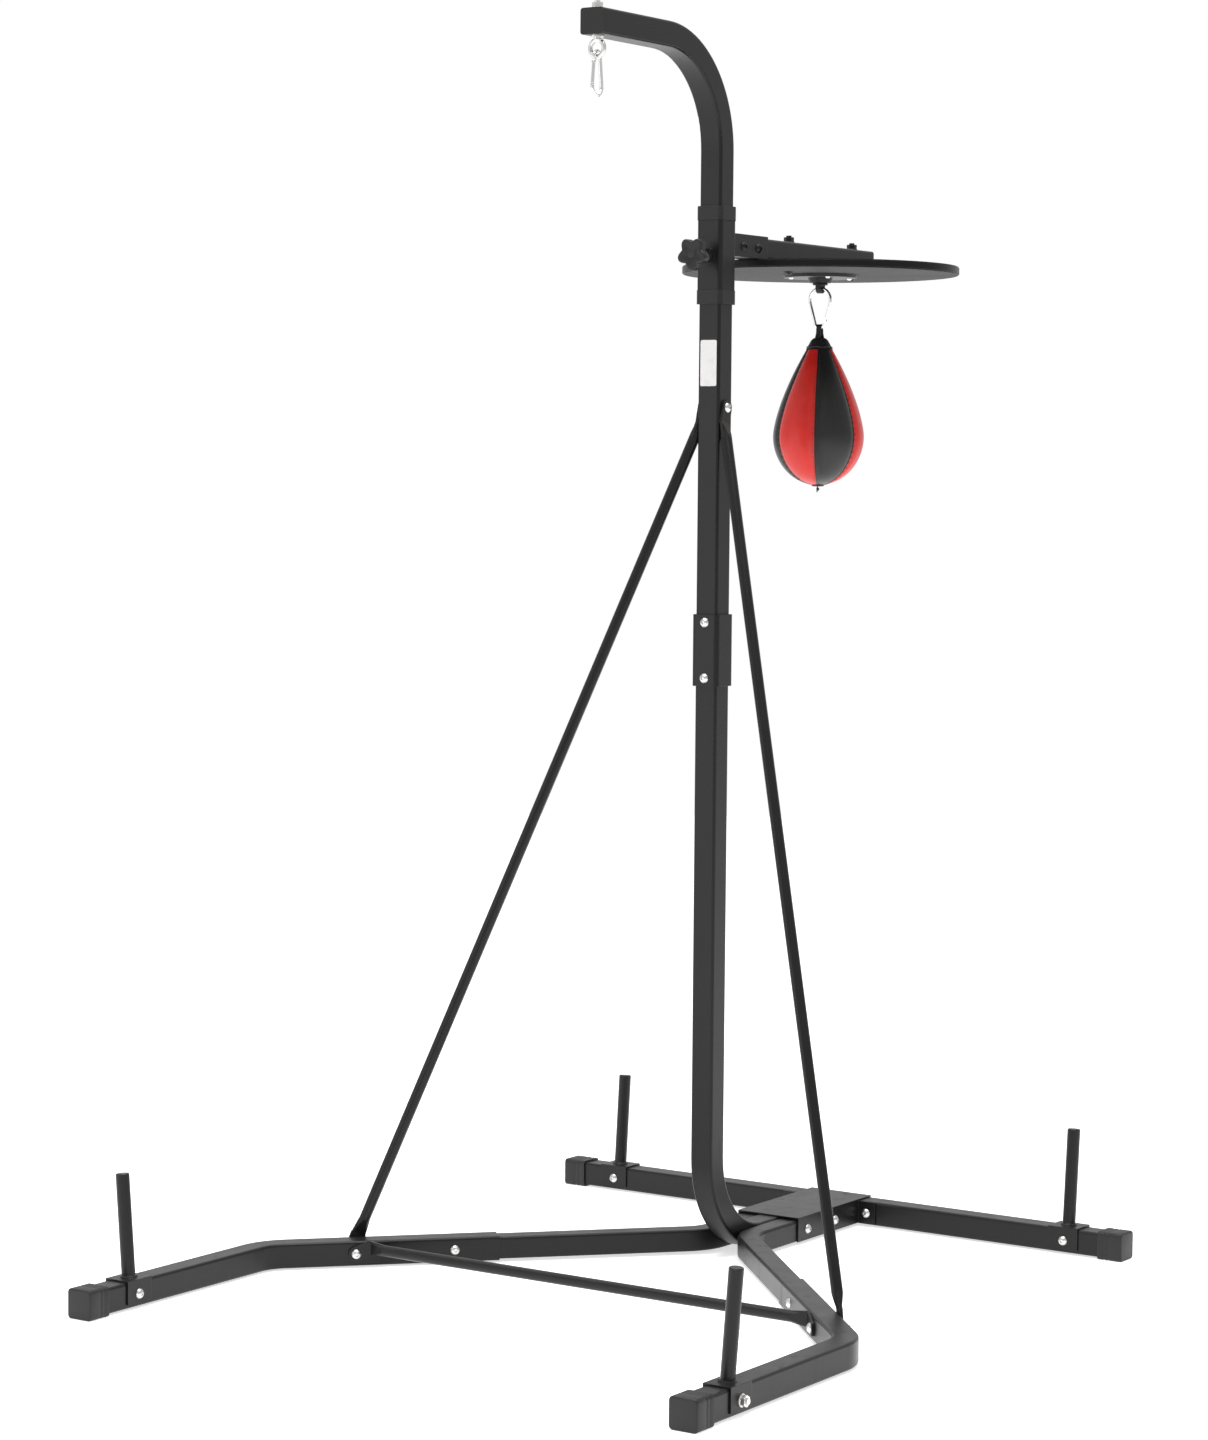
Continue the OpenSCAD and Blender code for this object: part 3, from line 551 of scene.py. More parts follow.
@dataclass(frozen=True)
class Rider:
    """How a new piece belongs to the stand."""

    body: str
    slot: str
    replaces: tuple[str, ...] = ()

    def settle(self, piece: Object) -> None:
        """Ties a piece to its body and hides the nodes that it stands for.

        Args:
            piece: The finished piece.
        """
        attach(piece, self.body)
        if self.replaces:
            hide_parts(*self.replaces)
        log.info("%s: %d faces, rides on %s", piece.name, len(piece.data.polygons), self.body)


def floor_middle(node: str) -> Vector:
    """Middle of a node's box, dropped to the floor."""
    low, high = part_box(node)
    return Vector(((low.x + high.x) / 2, (low.y + high.y) / 2, 0.0))


def linked(name: str, data: Any) -> Object:
    """A new object in the scene.

    Args:
        name: Name of the object.
        data: Its mesh, curve, camera or light.
    """
    made = bpy.data.objects.new(name, data)
    bpy.context.scene.collection.objects.link(made)
    return made


def to_object(
    name: str, bm: BMesh, finishes: Sequence[Finish], smooth: bool = True
) -> Object:
    """Turns a bmesh into an object at the origin.

    Args:
        name: Name of the piece.
        bm: The mesh, which is freed.
        finishes: Finish of each material index.
        smooth: Whether its faces are shaded smooth, with sharp edges kept past 40 degrees.

    Returns:
        The new object, linked to the scene.
    """
    mesh = bpy.data.meshes.new(name)
    bm.to_mesh(mesh)
    bm.free()
    piece = linked(name, mesh)
    for finish in finishes:
        mesh.materials.append(finish.material())
    if smooth:
        mesh.shade_smooth()
        mesh.set_sharp_from_angle(angle=math.radians(40))
    return piece


def outwards(bm: BMesh) -> None:
    """Turns every face outwards."""
    bmesh.ops.recalc_face_normals(bm, faces=bm.faces)


def clean(bm: BMesh, gap: float = 0.01 * MM) -> None:
    """Merges doubles and turns the faces outwards.

    Args:
        bm: The mesh.
        gap: Largest distance between merged points.
    """
    bmesh.ops.remove_doubles(bm, verts=bm.verts, dist=gap)
    outwards(bm)


def ease(bm: BMesh, edges: Sequence[BMEdge], radius: float,
         segments: int = 3) -> None:
    """Rounds edges.

    Args:
        bm: The mesh.
        edges: Edges to round.
        radius: Radius of the rounding.
        segments: Faces across the rounding.
    """
    bmesh.ops.bevel(bm, geom=list(edges), offset=radius, offset_type="OFFSET", affect="EDGES",
                    segments=segments, profile=0.5, material=-1, clamp_overlap=True)


def sharp_edges(bm: BMesh, over: float = 50.0) -> list[BMEdge]:
    """Edges whose faces turn more than an angle in degrees."""
    limit = math.radians(over)
    return [e for e in bm.edges if len(e.link_faces) == 2 and e.calc_face_angle(0.0) > limit]


def raised(bm: BMesh, height: float) -> None:
    """Extrudes every face of a flat mesh up.

    Args:
        bm: The mesh.
        height: Thickness given to it.
    """
    grown = bmesh.ops.extrude_face_region(bm, geom=bm.faces[:])["geom"]
    top = [g for g in grown if isinstance(g, BMVert)]
    bmesh.ops.translate(bm, verts=top, vec=(0, 0, height))
    outwards(bm)


def stitch(bm: BMesh, place: Matrix, thick: float, length: float) -> None:
    """Adds one stitch.

    Args:
        bm: Mesh that takes it.
        place: Its middle, and its run along Z.
        thick: Half its thickness.
        length: Half its length.
    """
    shape = Matrix.Diagonal((thick, thick, length, 1.0))
    bmesh.ops.create_uvsphere(bm, u_segments=6, v_segments=4, radius=1.0, matrix=place @ shape)


def spun(profile: Stops, steps: int) -> BMesh:
    """The closed surface that a profile makes when it's spun about Z.

    Args:
        profile: Radius and height of each point, from one end to the other.
        steps: Faces round the turn.
    """
    bm = bmesh.new()
    points = [bm.verts.new((r, 0.0, z)) for r, z in profile]
    for a, b in zip(points, points[1:]):
        bm.edges.new((a, b))
    bmesh.ops.spin(bm, geom=bm.verts[:] + bm.edges[:], cent=(0, 0, 0), axis=(0, 0, 1),
                   angle=math.tau, steps=steps, use_merge=True, use_duplicate=False)
    clean(bm)
    return bm


def cord_mesh(points: Sequence[Vector], radius: float, sides: int = 6) -> bpy.types.Mesh:
    """A thin round cord through points.

    Args:
        points: Where its centre line runs.
        radius: Its radius.
        sides: Faces round it.

    Returns:
        The cord as a mesh with closed ends.
    """
    curve = bpy.data.curves.new("cord", "CURVE")
    curve.dimensions = "3D"
    curve.bevel_depth = radius
    curve.bevel_resolution = max(0, (sides - 4) // 2)
    curve.use_fill_caps = True
    spline = curve.splines.new("POLY")
    spline.points.add(len(points) - 1)
    for target, point in zip(spline.points, points):
        target.co = (*point, 1.0)
    holder = linked("cord", curve)
    bpy.context.view_layer.update()
    mesh = bpy.data.meshes.new_from_object(holder)
    bpy.data.objects.remove(holder)
    bpy.data.curves.remove(curve)
    return mesh


# ---- speed bag

BAG = Rider("speed_bag_body", "bag_leather")
STRAP = Rider("speed_bag_body", "strap_leather")


@dataclass
class SpeedBag:
    """Six-panel speed bag: pumped leather panels, welted seams, stitching, collar and cord."""

    panels: int = 6
    columns: int = 20
    rows: int = 58
    first: float = math.radians(25.6)
    seam_dip: float = 3.4 * MM
    crown: float = 1.2 * MM
    swell_limit: float = 4.5 * MM
    mid: float = 0.35
    neck: float = 19.0 * MM
    welt: float = 1.0 * MM
    stitch_pitch: float = 6.5 * MM
    stitch_side: float = 3.4 * MM
    samples: int = 600
    seam_width: float = 0.16
    held_width: float = 0.06
    foot_share: float = 0.02
    neck_share: float = 0.97
    collar_share: float = 0.965
    lace_share: float = 0.982
    lace: float = 0.9 * MM
    pump_steps: int = 18
    pressure: float = 14.0
    stiffness: float = 28.0
    rider: Rider = Rider("speed_bag_body", "bag_leather", ("speed_bag",))
    radius: float = field(init=False)
    height: float = field(init=False)
    foot: Vector = field(init=False)

    def __post_init__(self) -> None:
        """Reads the bag's place and size off the frame."""
        low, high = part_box("speed_bag")
        self.radius = (high.x - low.x) / 2
        self.height = high.z - low.z
        self.foot = floor_middle("speed_bag") + Vector((0.0, 0.0, low.z))

    def radius_at(self, share: float) -> float:
        """Radius at a share of the height, from the foot up."""
        if share < self.mid:
            return self.radius * math.sqrt(max(0.0, 1 - (1 - share / self.mid) ** 2))
        swept = ((share - self.mid) / (1 - self.mid)) ** 1.5
        return self.neck + (self.radius - self.neck) * (1 - swept)

    def profile(self) -> list[tuple[float, float]]:
        """Radius and height from the foot to the neck, evenly spaced along the surface."""
        fine = [(self.radius_at(u), u * self.height) for u in
                ((i / self.samples) ** 1.8 for i in range(self.samples + 1))]
        lengths = [0.0]
        for (r0, z0), (r1, z1) in zip(fine, fine[1:]):
            lengths.append(lengths[-1] + math.hypot(r1 - r0, z1 - z0))
        picked, at = [], 0
        for k in range(self.rows + 1):
            goal = lengths[-1] * k / self.rows
            while at < self.samples and lengths[at] < goal:
                at += 1
            picked.append(fine[at])
        return picked

    def off_seam(self, angle: float) -> float:
        """How far an angle lies from the nearest seam: 0 on a seam, 1 mid-panel."""
        panel = math.tau / self.panels
        turned = (angle - self.first) % panel
        return 1 - abs(2 * turned / panel - 1)

    def surface(self, angle: float, r: float, z: float, lift: float = 0.0) -> Vector:
        """A point of the bag's skin, with seams drawn in and panels crowned.

        Args:
            angle: Direction round the bag, in radians.
            r: Radius of the plain surface there.
            z: Height above the foot.
            lift: Extra distance outwards.

        Returns:
            The point in the frame.
        """
        fullness = min(1.0, r / (self.radius * 0.55))
        off = self.off_seam(angle)
        dip = self.seam_dip * fullness * math.exp(-(off / self.seam_width) ** 2)
        crown = self.crown * fullness * math.sin(math.pi / 2 * off)
        reach = max(0.0, r - dip + crown - self.crown * 0.6 * fullness + lift)
        return self.foot + Vector((reach * math.cos(angle), reach * math.sin(angle), z))

    def build(self) -> None:
        """Makes and dresses every piece of the bag."""
        skin = self.skin()
        self.pump(skin)
        smooth = skin.modifiers.new("smooth", "SUBSURF")
        smooth.levels = smooth.render_levels = 1
        self.rider.settle(skin)
        self.dress_seams()
        self.build_foot()
        self.build_collar()

    def skin(self) -> Object:
        """The closed leather shell, its panels alternately red and black."""
        steps = self.panels * self.columns
        bm = spun(self.profile(), steps)
        turn = Matrix.Rotation(self.first, 3, "Z")
        bmesh.ops.rotate(bm, verts=bm.verts, cent=(0, 0, 0), matrix=turn)
        rim = [e for e in bm.edges if e.is_boundary]
        if rim:
            bmesh.ops.contextual_create(bm, geom=rim)
            clean(bm)
        for vert in bm.verts:
            r = math.hypot(vert.co.x, vert.co.y)
            vert.co = self.surface(math.atan2(vert.co.y, vert.co.x), r, vert.co.z)
        for face in bm.faces:
            centre = face.calc_center_median() - self.foot
            angle = math.atan2(centre.y, centre.x) - self.first
            face.material_index = int((angle % math.tau) / (math.tau / self.panels)) % 2
        return to_object("speed_bag_skin", bm, (Finish.BLACK_LEATHER, Finish.BAG_LEATHER))

    def pump(self, skin: Object) -> None:
        """Pumps the panels up with cloth held along its seams, then fixes the result.

        Args:
            skin: The leather shell.
        """
        scene = bpy.context.scene
        rest = [v.co.copy() for v in skin.data.vertices]
        held = skin.vertex_groups.new(name="seams")
        for vert in skin.data.vertices:
            local = vert.co - self.foot
            off = self.off_seam(math.atan2(local.y, local.x))
            up = local.z / self.height
            if off < self.held_width or not self.foot_share <= up <= self.neck_share:
                held.add([vert.index], 1.0, "REPLACE")
        cloth = skin.modifiers.new("pump", "CLOTH")
        rules = cloth.settings
        rules.quality = 8
        rules.mass = 0.25
        rules.tension_stiffness = rules.compression_stiffness = self.stiffness
        rules.shear_stiffness = 12.0
        rules.bending_stiffness = 1.2
        rules.use_pressure = True
        rules.uniform_pressure_force = self.pressure
        rules.vertex_group_mass = held.name
        rules.effector_weights.gravity = 0.0
        cloth.collision_settings.use_collision = False
        for step in range(1, self.pump_steps + 1):
            scene.frame_set(step)
        shaped = skin.evaluated_get(bpy.context.evaluated_depsgraph_get())
        moved = [v.co.copy() for v in shaped.data.vertices]
        skin.modifiers.remove(cloth)
        skin.vertex_groups.remove(held)
        scene.frame_set(1)
        for vert, before, after in zip(skin.data.vertices, rest, moved):
            shift = after - before
            if shift.length > self.swell_limit:
                shift *= self.swell_limit / shift.length
            vert.co = before + shift
        skin.data.update()

    def seam_line(self, angle: float, lift: float) -> list[Vector]:
        """Points along one seam, from near the foot to the neck."""
        return [self.surface(angle, r, z, lift) for r, z in self.profile()
                if 0.004 * self.height <= z <= self.neck_share * self.height]

    def dress_seams(self) -> None:
        """Welts and stitches every seam."""
        welts = bmesh.new()
        stitches = bmesh.new()
        for k in range(self.panels):
            angle = self.first + k * math.tau / self.panels
            welts.from_mesh(cord_mesh(self.seam_line(angle, 0.2 * MM), self.welt, 8))
            for side in (-1, 1):
                self.sew(stitches, angle, side)
        clean(welts, 0.001 * MM)
        BAG.settle(to_object("speed_bag_welts", welts, (Finish.BLACK_LEATHER,)))
        BAG.settle(to_object("speed_bag_stitches", stitches, (Finish.BLACK_THREAD,)))

    def sew(self, bm: BMesh, angle: float, side: int) -> None:
        """Adds a row of stitches beside a seam.

        Args:
            bm: Mesh that takes the stitches.
            angle: The seam's direction.
            side: -1 or 1, the side of the seam.
        """
        line: list[Vector] = []
        for r, z in self.profile():
            if self.foot_share * self.height <= z <= 0.93 * self.height and r > 0:
                turned = angle + side * min(0.16, self.stitch_side / r)
                line.append(self.surface(turned, r, z, 0.9 * MM))
        travelled = 0.0
        for a, b in zip(line, line[1:]):
            step = b - a
            travelled += step.length
            if travelled < self.stitch_pitch:
                continue
            travelled = 0.0
            run = step.to_track_quat("Z", "Y").to_matrix().to_4x4()
            stitch(bm, Matrix.Translation((a + b) / 2) @ run, 0.45 * MM, 2.0 * MM)

    def build_foot(self) -> None:
        """Round leather patch and tied cord end under the bag."""
        patch = spun([(0.0, -2.6 * MM), (9 * MM, -2.3 * MM), (11.5 * MM, -1.3 * MM),
                      (12.5 * MM, 0.6 * MM), (11.5 * MM, 1.6 * MM), (0.0, 2.0 * MM)], 40)
        bmesh.ops.translate(patch, verts=patch.verts, vec=self.foot)
        ease(patch, sharp_edges(patch, 35), 0.5 * MM, 2)
        BAG.settle(to_object("speed_bag_foot_patch", patch, (Finish.BLACK_LEATHER,)))
        knot = bmesh.new()
        turns = [Vector((2.6 * MM * math.cos(t), 1.6 * MM * math.sin(t),
                         -4.2 * MM - 2.2 * MM * math.sin(t / 2) ** 2 - 0.28 * MM * t))
                 for t in (i * math.tau / 14 for i in range(29))]
        tail = [turns[-1] + Vector((0, 0, -0.9 * MM * i)) for i in range(1, 7)]
        lead = [Vector((0.4 * MM, 0, -1.0 * MM)), Vector((1.6 * MM, 0, -2.6 * MM))]
        knot.from_mesh(cord_mesh([self.foot + p for p in lead + turns + tail], 1.1 * MM, 8))
        BAG.settle(to_object("speed_bag_foot_knot", knot, (Finish.BLACK_THREAD,)))

    def build_collar(self) -> None:
        """Black leather collar that closes the neck, with a lace through its eyelets."""
        top = self.height
        low = self.collar_share
        outer = [(self.radius_at(u) + 1.3 * MM, u * top) for u in (low, 0.975, 0.985, 0.995)]
        profile = [(self.radius_at(low) - 0.2 * MM, low * top - 0.6 * MM)] + outer
        profile += [(18.8 * MM, top + 3.0 * MM), (16.0 * MM, top + 8.0 * MM),
                    (12.4 * MM, top + 11.5 * MM), (9.5 * MM, top + 12.6 * MM),
                    (0.0, top + 12.8 * MM)]
        collar = spun(profile, 72)
        bmesh.ops.translate(collar, verts=collar.verts, vec=self.foot)
        BAG.settle(to_object("speed_bag_collar", collar, (Finish.STRAP_LEATHER,)))
        lace = bmesh.new()
        ring = []
        for t in (i * math.tau / 96 for i in range(97)):
            share = self.lace_share + self.lace / top * math.sin(6 * t)
            out = self.radius_at(share) + 1.9 * MM
            ring.append(self.foot + Vector((out * math.cos(t), out * math.sin(t), share * top)))
        lace.from_mesh(cord_mesh(ring, self.lace, 8))
        clean(lace)
        BAG.settle(to_object("speed_bag_lace", lace, (Finish.BLACK_THREAD,)))


@dataclass
class HangingLoop:
    """Leather strap that loops over the hook's narrow end and is sewn into the collar."""

    width: float = 10.0 * MM
    thick: float = 2.2 * MM
    wire: float = 3.0 * MM
    slack: float = 0.7 * MM
    row: float = 3.2 * MM
    rider: Rider = Rider("speed_bag_body", "strap_leather", ("bag_strap",))

    def path(self) -> list[Vector]:
        """Middle line of the strap, up one side, over the wire and down the other."""
        low, high = (corner.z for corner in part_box("bag_strap"))
        bend = self.wire + self.thick / 2 + self.slack
        crest = high - self.thick / 2 - bend
        side = [(13.0 * MM, low - 4 * MM), (12.0 * MM, low + 6 * MM), (8.6 * MM, low + 14 * MM),
                (bend + 0.6 * MM, low + 22 * MM), (bend, crest)]
        arc = [(bend * math.cos(t), crest + bend * math.sin(t))
               for t in (math.pi * i / 12 for i in range(1, 12))]
        full = side + arc + [(-x, z) for x, z in reversed(side)]
        return [floor_middle("bag_strap") + Vector((x, 0.0, z)) for x, z in full]

    def build(self) -> None:
        """Extrudes the strap along its path and rounds its edges."""
        points = self.path()
        bm = bmesh.new()
        half = Vector((0.0, self.width / 2, 0.0))
        ends = [bm.verts.new(points[0] - half), bm.verts.new(points[0] + half)]
        row = [bm.edges.new(ends)]
        for a, b in zip(points, points[1:]):
            grown = bmesh.ops.extrude_edge_only(bm, edges=row)["geom"]
            fresh = [g for g in grown if isinstance(g, BMVert)]
            bmesh.ops.translate(bm, verts=fresh, vec=b - a)
            row = [g for g in grown if isinstance(g, BMEdge)
                   and all(v in fresh for v in g.verts)]
        clean(bm)
        bmesh.ops.solidify(bm, geom=bm.faces[:], thickness=self.thick)
        outwards(bm)
        ease(bm, sharp_edges(bm, 60), 0.6 * MM, 2)
        self.rider.settle(to_object("bag_hanging_loop", bm, (Finish.STRAP_LEATHER,)))
        self.sew()

    def sew(self) -> None:
        """Two short rows of stitches that close the loop under the wire."""
        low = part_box("bag_strap")[0].z
        bm = bmesh.new()
        for side in (-1, 1):
            for across in (-self.row, self.row):
                for k in range(4):
                    spot = Vector((side * (13.4 - k * 0.35) * MM, across, (1.5 + 3.0 * k) * MM))
                    spot += floor_middle("bag_strap") + Vector((0.0, 0.0, low))
                    stitch(bm, Matrix.Translation(spot), 0.5 * MM, 1.2 * MM)
        STRAP.settle(to_object("bag_loop_stitches", bm, (Finish.GREY_THREAD,)))


# ---- moulded pieces


@dataclass
class TubeCap:
    """Rounded plastic cap pushed over a tube's end."""

    node: str
    axis: int
    sign: int
    wall: float = 3.4 * MM
    corner: float = 7.0 * MM
    nose: float = 3.0 * MM
    rib_depth: float = 0.8 * MM
    grooves: ClassVar[tuple[tuple[float, ...], ...]] = ((0.20, 0.24, 0.27, 0.31),
                                                        (0.38, 0.42, 0.45, 0.49))

    def build(self) -> None:
        """Makes the hollow cap with two grip grooves."""
        low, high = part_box(self.node)
        bm = bmesh.new()
        bmesh.ops.create_cube(bm, size=1.0)
        bmesh.ops.scale(bm, verts=bm.verts, vec=high - low)
        bmesh.ops.translate(bm, verts=bm.verts, vec=(low + high) / 2)
        inner = (low if self.sign > 0 else high)[self.axis]
        outer = (high if self.sign > 0 else low)[self.axis]
        open_end = [f for f in bm.faces
                    if all(abs(v.co[self.axis] - inner) < NEAR for v in f.verts)]
        bmesh.ops.delete(bm, geom=open_end, context="FACES")
        along = [e for e in bm.edges if abs((e.verts[0].co - e.verts[1].co).normalized()[self.axis])
                 > 0.9]
        ease(bm, along, self.corner, 5)
        face_rim = [e for e in bm.edges if len(e.link_faces) == 2 and all(
            abs(v.co[self.axis] - outer) < NEAR for v in e.verts)]
        ease(bm, face_rim, self.nose, 4)
        self.groove(bm, inner, outer, (low + high) / 2)
        outwards(bm)
        bmesh.ops.solidify(bm, geom=bm.faces[:], thickness=self.wall)
        outwards(bm)
        Rider("stand", "black_plastic", (self.node,)).settle(
            to_object(f"{self.node}_shell", bm, (Finish.CAP_PLASTIC,)))

    def groove(self, bm: BMesh, inner: float, outer: float, middle: Vector) -> None:
        """Cuts the sides with planes and draws the strips between them in.

        Args:
            bm: The cap.
            inner: Place of the open end along the axis.
            outer: Place of the closed end along the axis.
            middle: Centre of the cap.
        """
        normal = Vector([float(i == self.axis) for i in range(3)])
        length = outer - inner
        for share in sorted({s for strip in self.grooves for s in strip}):
            point = Vector(middle)
            point[self.axis] = inner + share * length
            bmesh.ops.bisect_plane(bm, geom=bm.verts[:] + bm.edges[:] + bm.faces[:],
                                   dist=1e-7, plane_co=point, plane_no=normal)
        for strip in self.grooves:
            floor = [inner + share * length for share in strip[1:3]]
            for vert in bm.verts:
                if any(abs(vert.co[self.axis] - place) < NEAR for place in floor):
                    away = vert.co - middle
                    away[self.axis] = 0.0
                    vert.co -= away.normalized() * self.rib_depth


@dataclass
class StarKnob:
    """Five-lobed clamp knob with a domed face and a moulded-in boss."""

    lobes: int = 5
    reach: float = 30.0 * MM
    waist: float = 21.5 * MM
    neck: float = 8.0 * MM
    boss_radius: float = 11.0 * MM
    rider: Rider = Rider("clamp_knob", "black_plastic", ("clamp_grip",))

    def build(self) -> None:
        """Shapes the knob about the clamp screw's axis."""
        low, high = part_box("clamp_grip")
        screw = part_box("clamp_screw")
        centre = (screw[0] + screw[1]) / 2
        bm = bmesh.new()
        ring = bmesh.ops.create_circle(bm, cap_ends=True, radius=1.0, segments=120)["verts"]
        for vert in ring:
            angle = math.atan2(vert.co.y, vert.co.x)
            wave = 0.5 + 0.5 * math.cos(self.lobes * angle)
            vert.co *= self.waist + (self.reach - self.waist) * wave ** 0.75
        raised(bm, high.x - low.x - self.neck)
        ease(bm, sharp_edges(bm, 60), 4.2 * MM, 5)
        face = max(bm.faces, key=lambda f: f.calc_center_median().z)
        self.sink(bm, face)
        back = min(bm.faces, key=lambda f: f.calc_center_median().z)
        self.boss(bm, back)
        move = Matrix.Translation((low.x + self.neck, centre.y, centre.z))
        bmesh.ops.transform(bm, matrix=move @ TO_X, verts=bm.verts)
        self.rider.settle(to_object("star_knob", bm, (Finish.BLACK_PLASTIC,)))
        self.cap((high.x, centre.y, centre.z))

    def sink(self, bm: BMesh, face: BMFace) -> None:
        """Draws the front face in towards a shallow dish.

        Args:
            bm: The knob.
            face: Its front face.
        """
        for shrink, drop in ((0.72, 0.4 * MM), (0.80, 1.0 * MM)):
            bmesh.ops.inset_region(bm, faces=[face], thickness=0.05 * MM, depth=0.0,
                                   use_even_offset=False)
            for vert in face.verts:
                vert.co.x *= shrink
                vert.co.y *= shrink
                vert.co.z -= drop

    def boss(self, bm: BMesh, face: BMFace) -> None:
        """Grows the round boss on the back face.

        Args:
            bm: The knob.
            face: Its back face.
        """
        bmesh.ops.inset_region(bm, faces=[face], thickness=0.05 * MM, depth=0.0,
                               use_even_offset=False)
        for vert in face.verts:
            flat = Vector((vert.co.x, vert.co.y, 0.0)).normalized() * self.boss_radius
            vert.co.x, vert.co.y = flat.x, flat.y
        grown = bmesh.ops.extrude_discrete_faces(bm, faces=[face])["faces"]
        bmesh.ops.translate(bm, verts=grown[0].verts, vec=(0, 0, -self.neck))

    def cap(self, spot: tuple[float, float, float]) -> None:
        """Pressed-in disc over the screw's end.

        Args:
            spot: Middle of the knob's front.
        """
        disc = spun([(0.0, 1.4 * MM), (6.0 * MM, 1.1 * MM), (8.2 * MM, 0.2 * MM),
                     (8.8 * MM, -1.6 * MM), (0.0, -1.8 * MM)], 40)
        bmesh.ops.transform(disc, verts=disc.verts,
                            matrix=Matrix.Translation((spot[0] - 1.2 * MM, *spot[1:])) @ TO_X)
        Rider("clamp_knob", "black_plastic").settle(
            to_object("star_knob_disc", disc, (Finish.CAP_PLASTIC,)))


@dataclass
class BlankLabel:
    """Blank label with rounded corners, stuck to the post."""

    corner: float = 3.0 * MM
    film: float = 0.25 * MM

    def build(self) -> None:
        """Makes the thin rounded sheet."""
        low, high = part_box("blank_label")
        bm = bmesh.new()
        bmesh.ops.create_grid(bm, x_segments=1, y_segments=1, size=0.5)
        bmesh.ops.scale(bm, verts=bm.verts, vec=(high.z - low.z, high.y - low.y, 1.0))
        bmesh.ops.bevel(bm, geom=bm.verts[:], offset=self.corner, affect="VERTICES", segments=5,
                        profile=0.5, material=-1)
        raised(bm, self.film)
        middle = Vector((low.x + 0.02 * MM, (low.y + high.y) / 2, (low.z + high.z) / 2))
        bmesh.ops.transform(bm, verts=bm.verts, matrix=Matrix.Translation(middle) @ TO_X)
        Rider("stand", "label", ("blank_label",)).settle(
            to_object("label_film", bm, (Finish.LABEL,)))


# ---- welds


@dataclass
class WeldBead:
    """Rippled fillet weld round a bar that stands on a plate."""

    name: str
    centre: Vector
    axis: Vector
    bar: float
    bead: float = 2.4 * MM
    ripples: int = 34
    ripple: float = 0.28 * MM
    wander: float = 0.3 * MM
    leg: float = 0.6 * MM

    def build(self) -> None:
        """Spins the bead round the bar and ripples it."""
        bm = bmesh.new()
        ring = bmesh.ops.create_circle(bm, cap_ends=False, radius=self.bead, segments=10,
                                       matrix=Matrix.Translation((self.bar + self.leg, 0, 0))
                                       @ Matrix.Rotation(math.pi / 2, 4, "X"))["verts"]
        edges = list({e for v in ring for e in v.link_edges})
        bmesh.ops.spin(bm, geom=ring + edges, cent=(0, 0, 0), axis=(0, 0, 1), angle=math.tau,
                       steps=self.ripples * 4, use_merge=True, use_duplicate=False)
        clean(bm)
        for vert in bm.verts:
            angle = math.atan2(vert.co.y, vert.co.x)
            wave = self.ripple * math.sin(self.ripples * angle)
            wave += self.wander * math.sin(3 * angle + 1)
            flat = Vector((vert.co.x, vert.co.y, 0.0))
            heart = flat.normalized() * (self.bar + self.leg)
            away = vert.co - heart
            vert.co = heart + away.normalized() * (self.bead + wave)
        turn = self.axis.to_track_quat("Z", "Y").to_matrix().to_4x4()
        bmesh.ops.transform(bm, verts=bm.verts, matrix=Matrix.Translation(self.centre) @ turn)
        Rider("stand", "powder_coat").settle(to_object(self.name, bm, (Finish.POWDER_COAT,)))


class WeldShop:
    """Finds where the beads go."""

    PEGS: ClassVar[tuple[str, ...]] = ("front_left", "front_right", "rear_left", "rear_right")
    PEG_RADIUS: ClassVar[float] = 12.0 * MM
    LEAN: ClassVar[float] = math.radians(4.5)
    SADDLE: ClassVar[float] = 3.0 * MM
    CAP_OVER: ClassVar[float] = 3.5 * MM

    def build(self) -> None:
        """Runs a bead round every weight peg."""
        for side in self.PEGS:
            end, hand = side.split("_")
            peg = floor_middle(f"plate_peg_{side}")
            node = f"front_cap_{hand}" if end == "front" else "rear_cap_left"
            cap, top = floor_middle(node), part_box(node)[1].z - self.CAP_OVER + self.SADDLE
            if end == "front":
                out = Vector((0.0, -1.0 if hand == "left" else 1.0, 0.0))
                foot = Vector((peg.x, cap.y, top))
            else:
                out = Vector((-1.0, 0.0, 0.0))
                foot = Vector((cap.x, peg.y, top))
            axis = out * math.sin(self.LEAN) + Vector((0, 0, math.cos(self.LEAN)))
            foot += out * (self.SADDLE / 2) * math.tan(self.LEAN)
            WeldBead(f"peg_weld_{side}", foot, axis, self.PEG_RADIUS).build()


# ---- studio


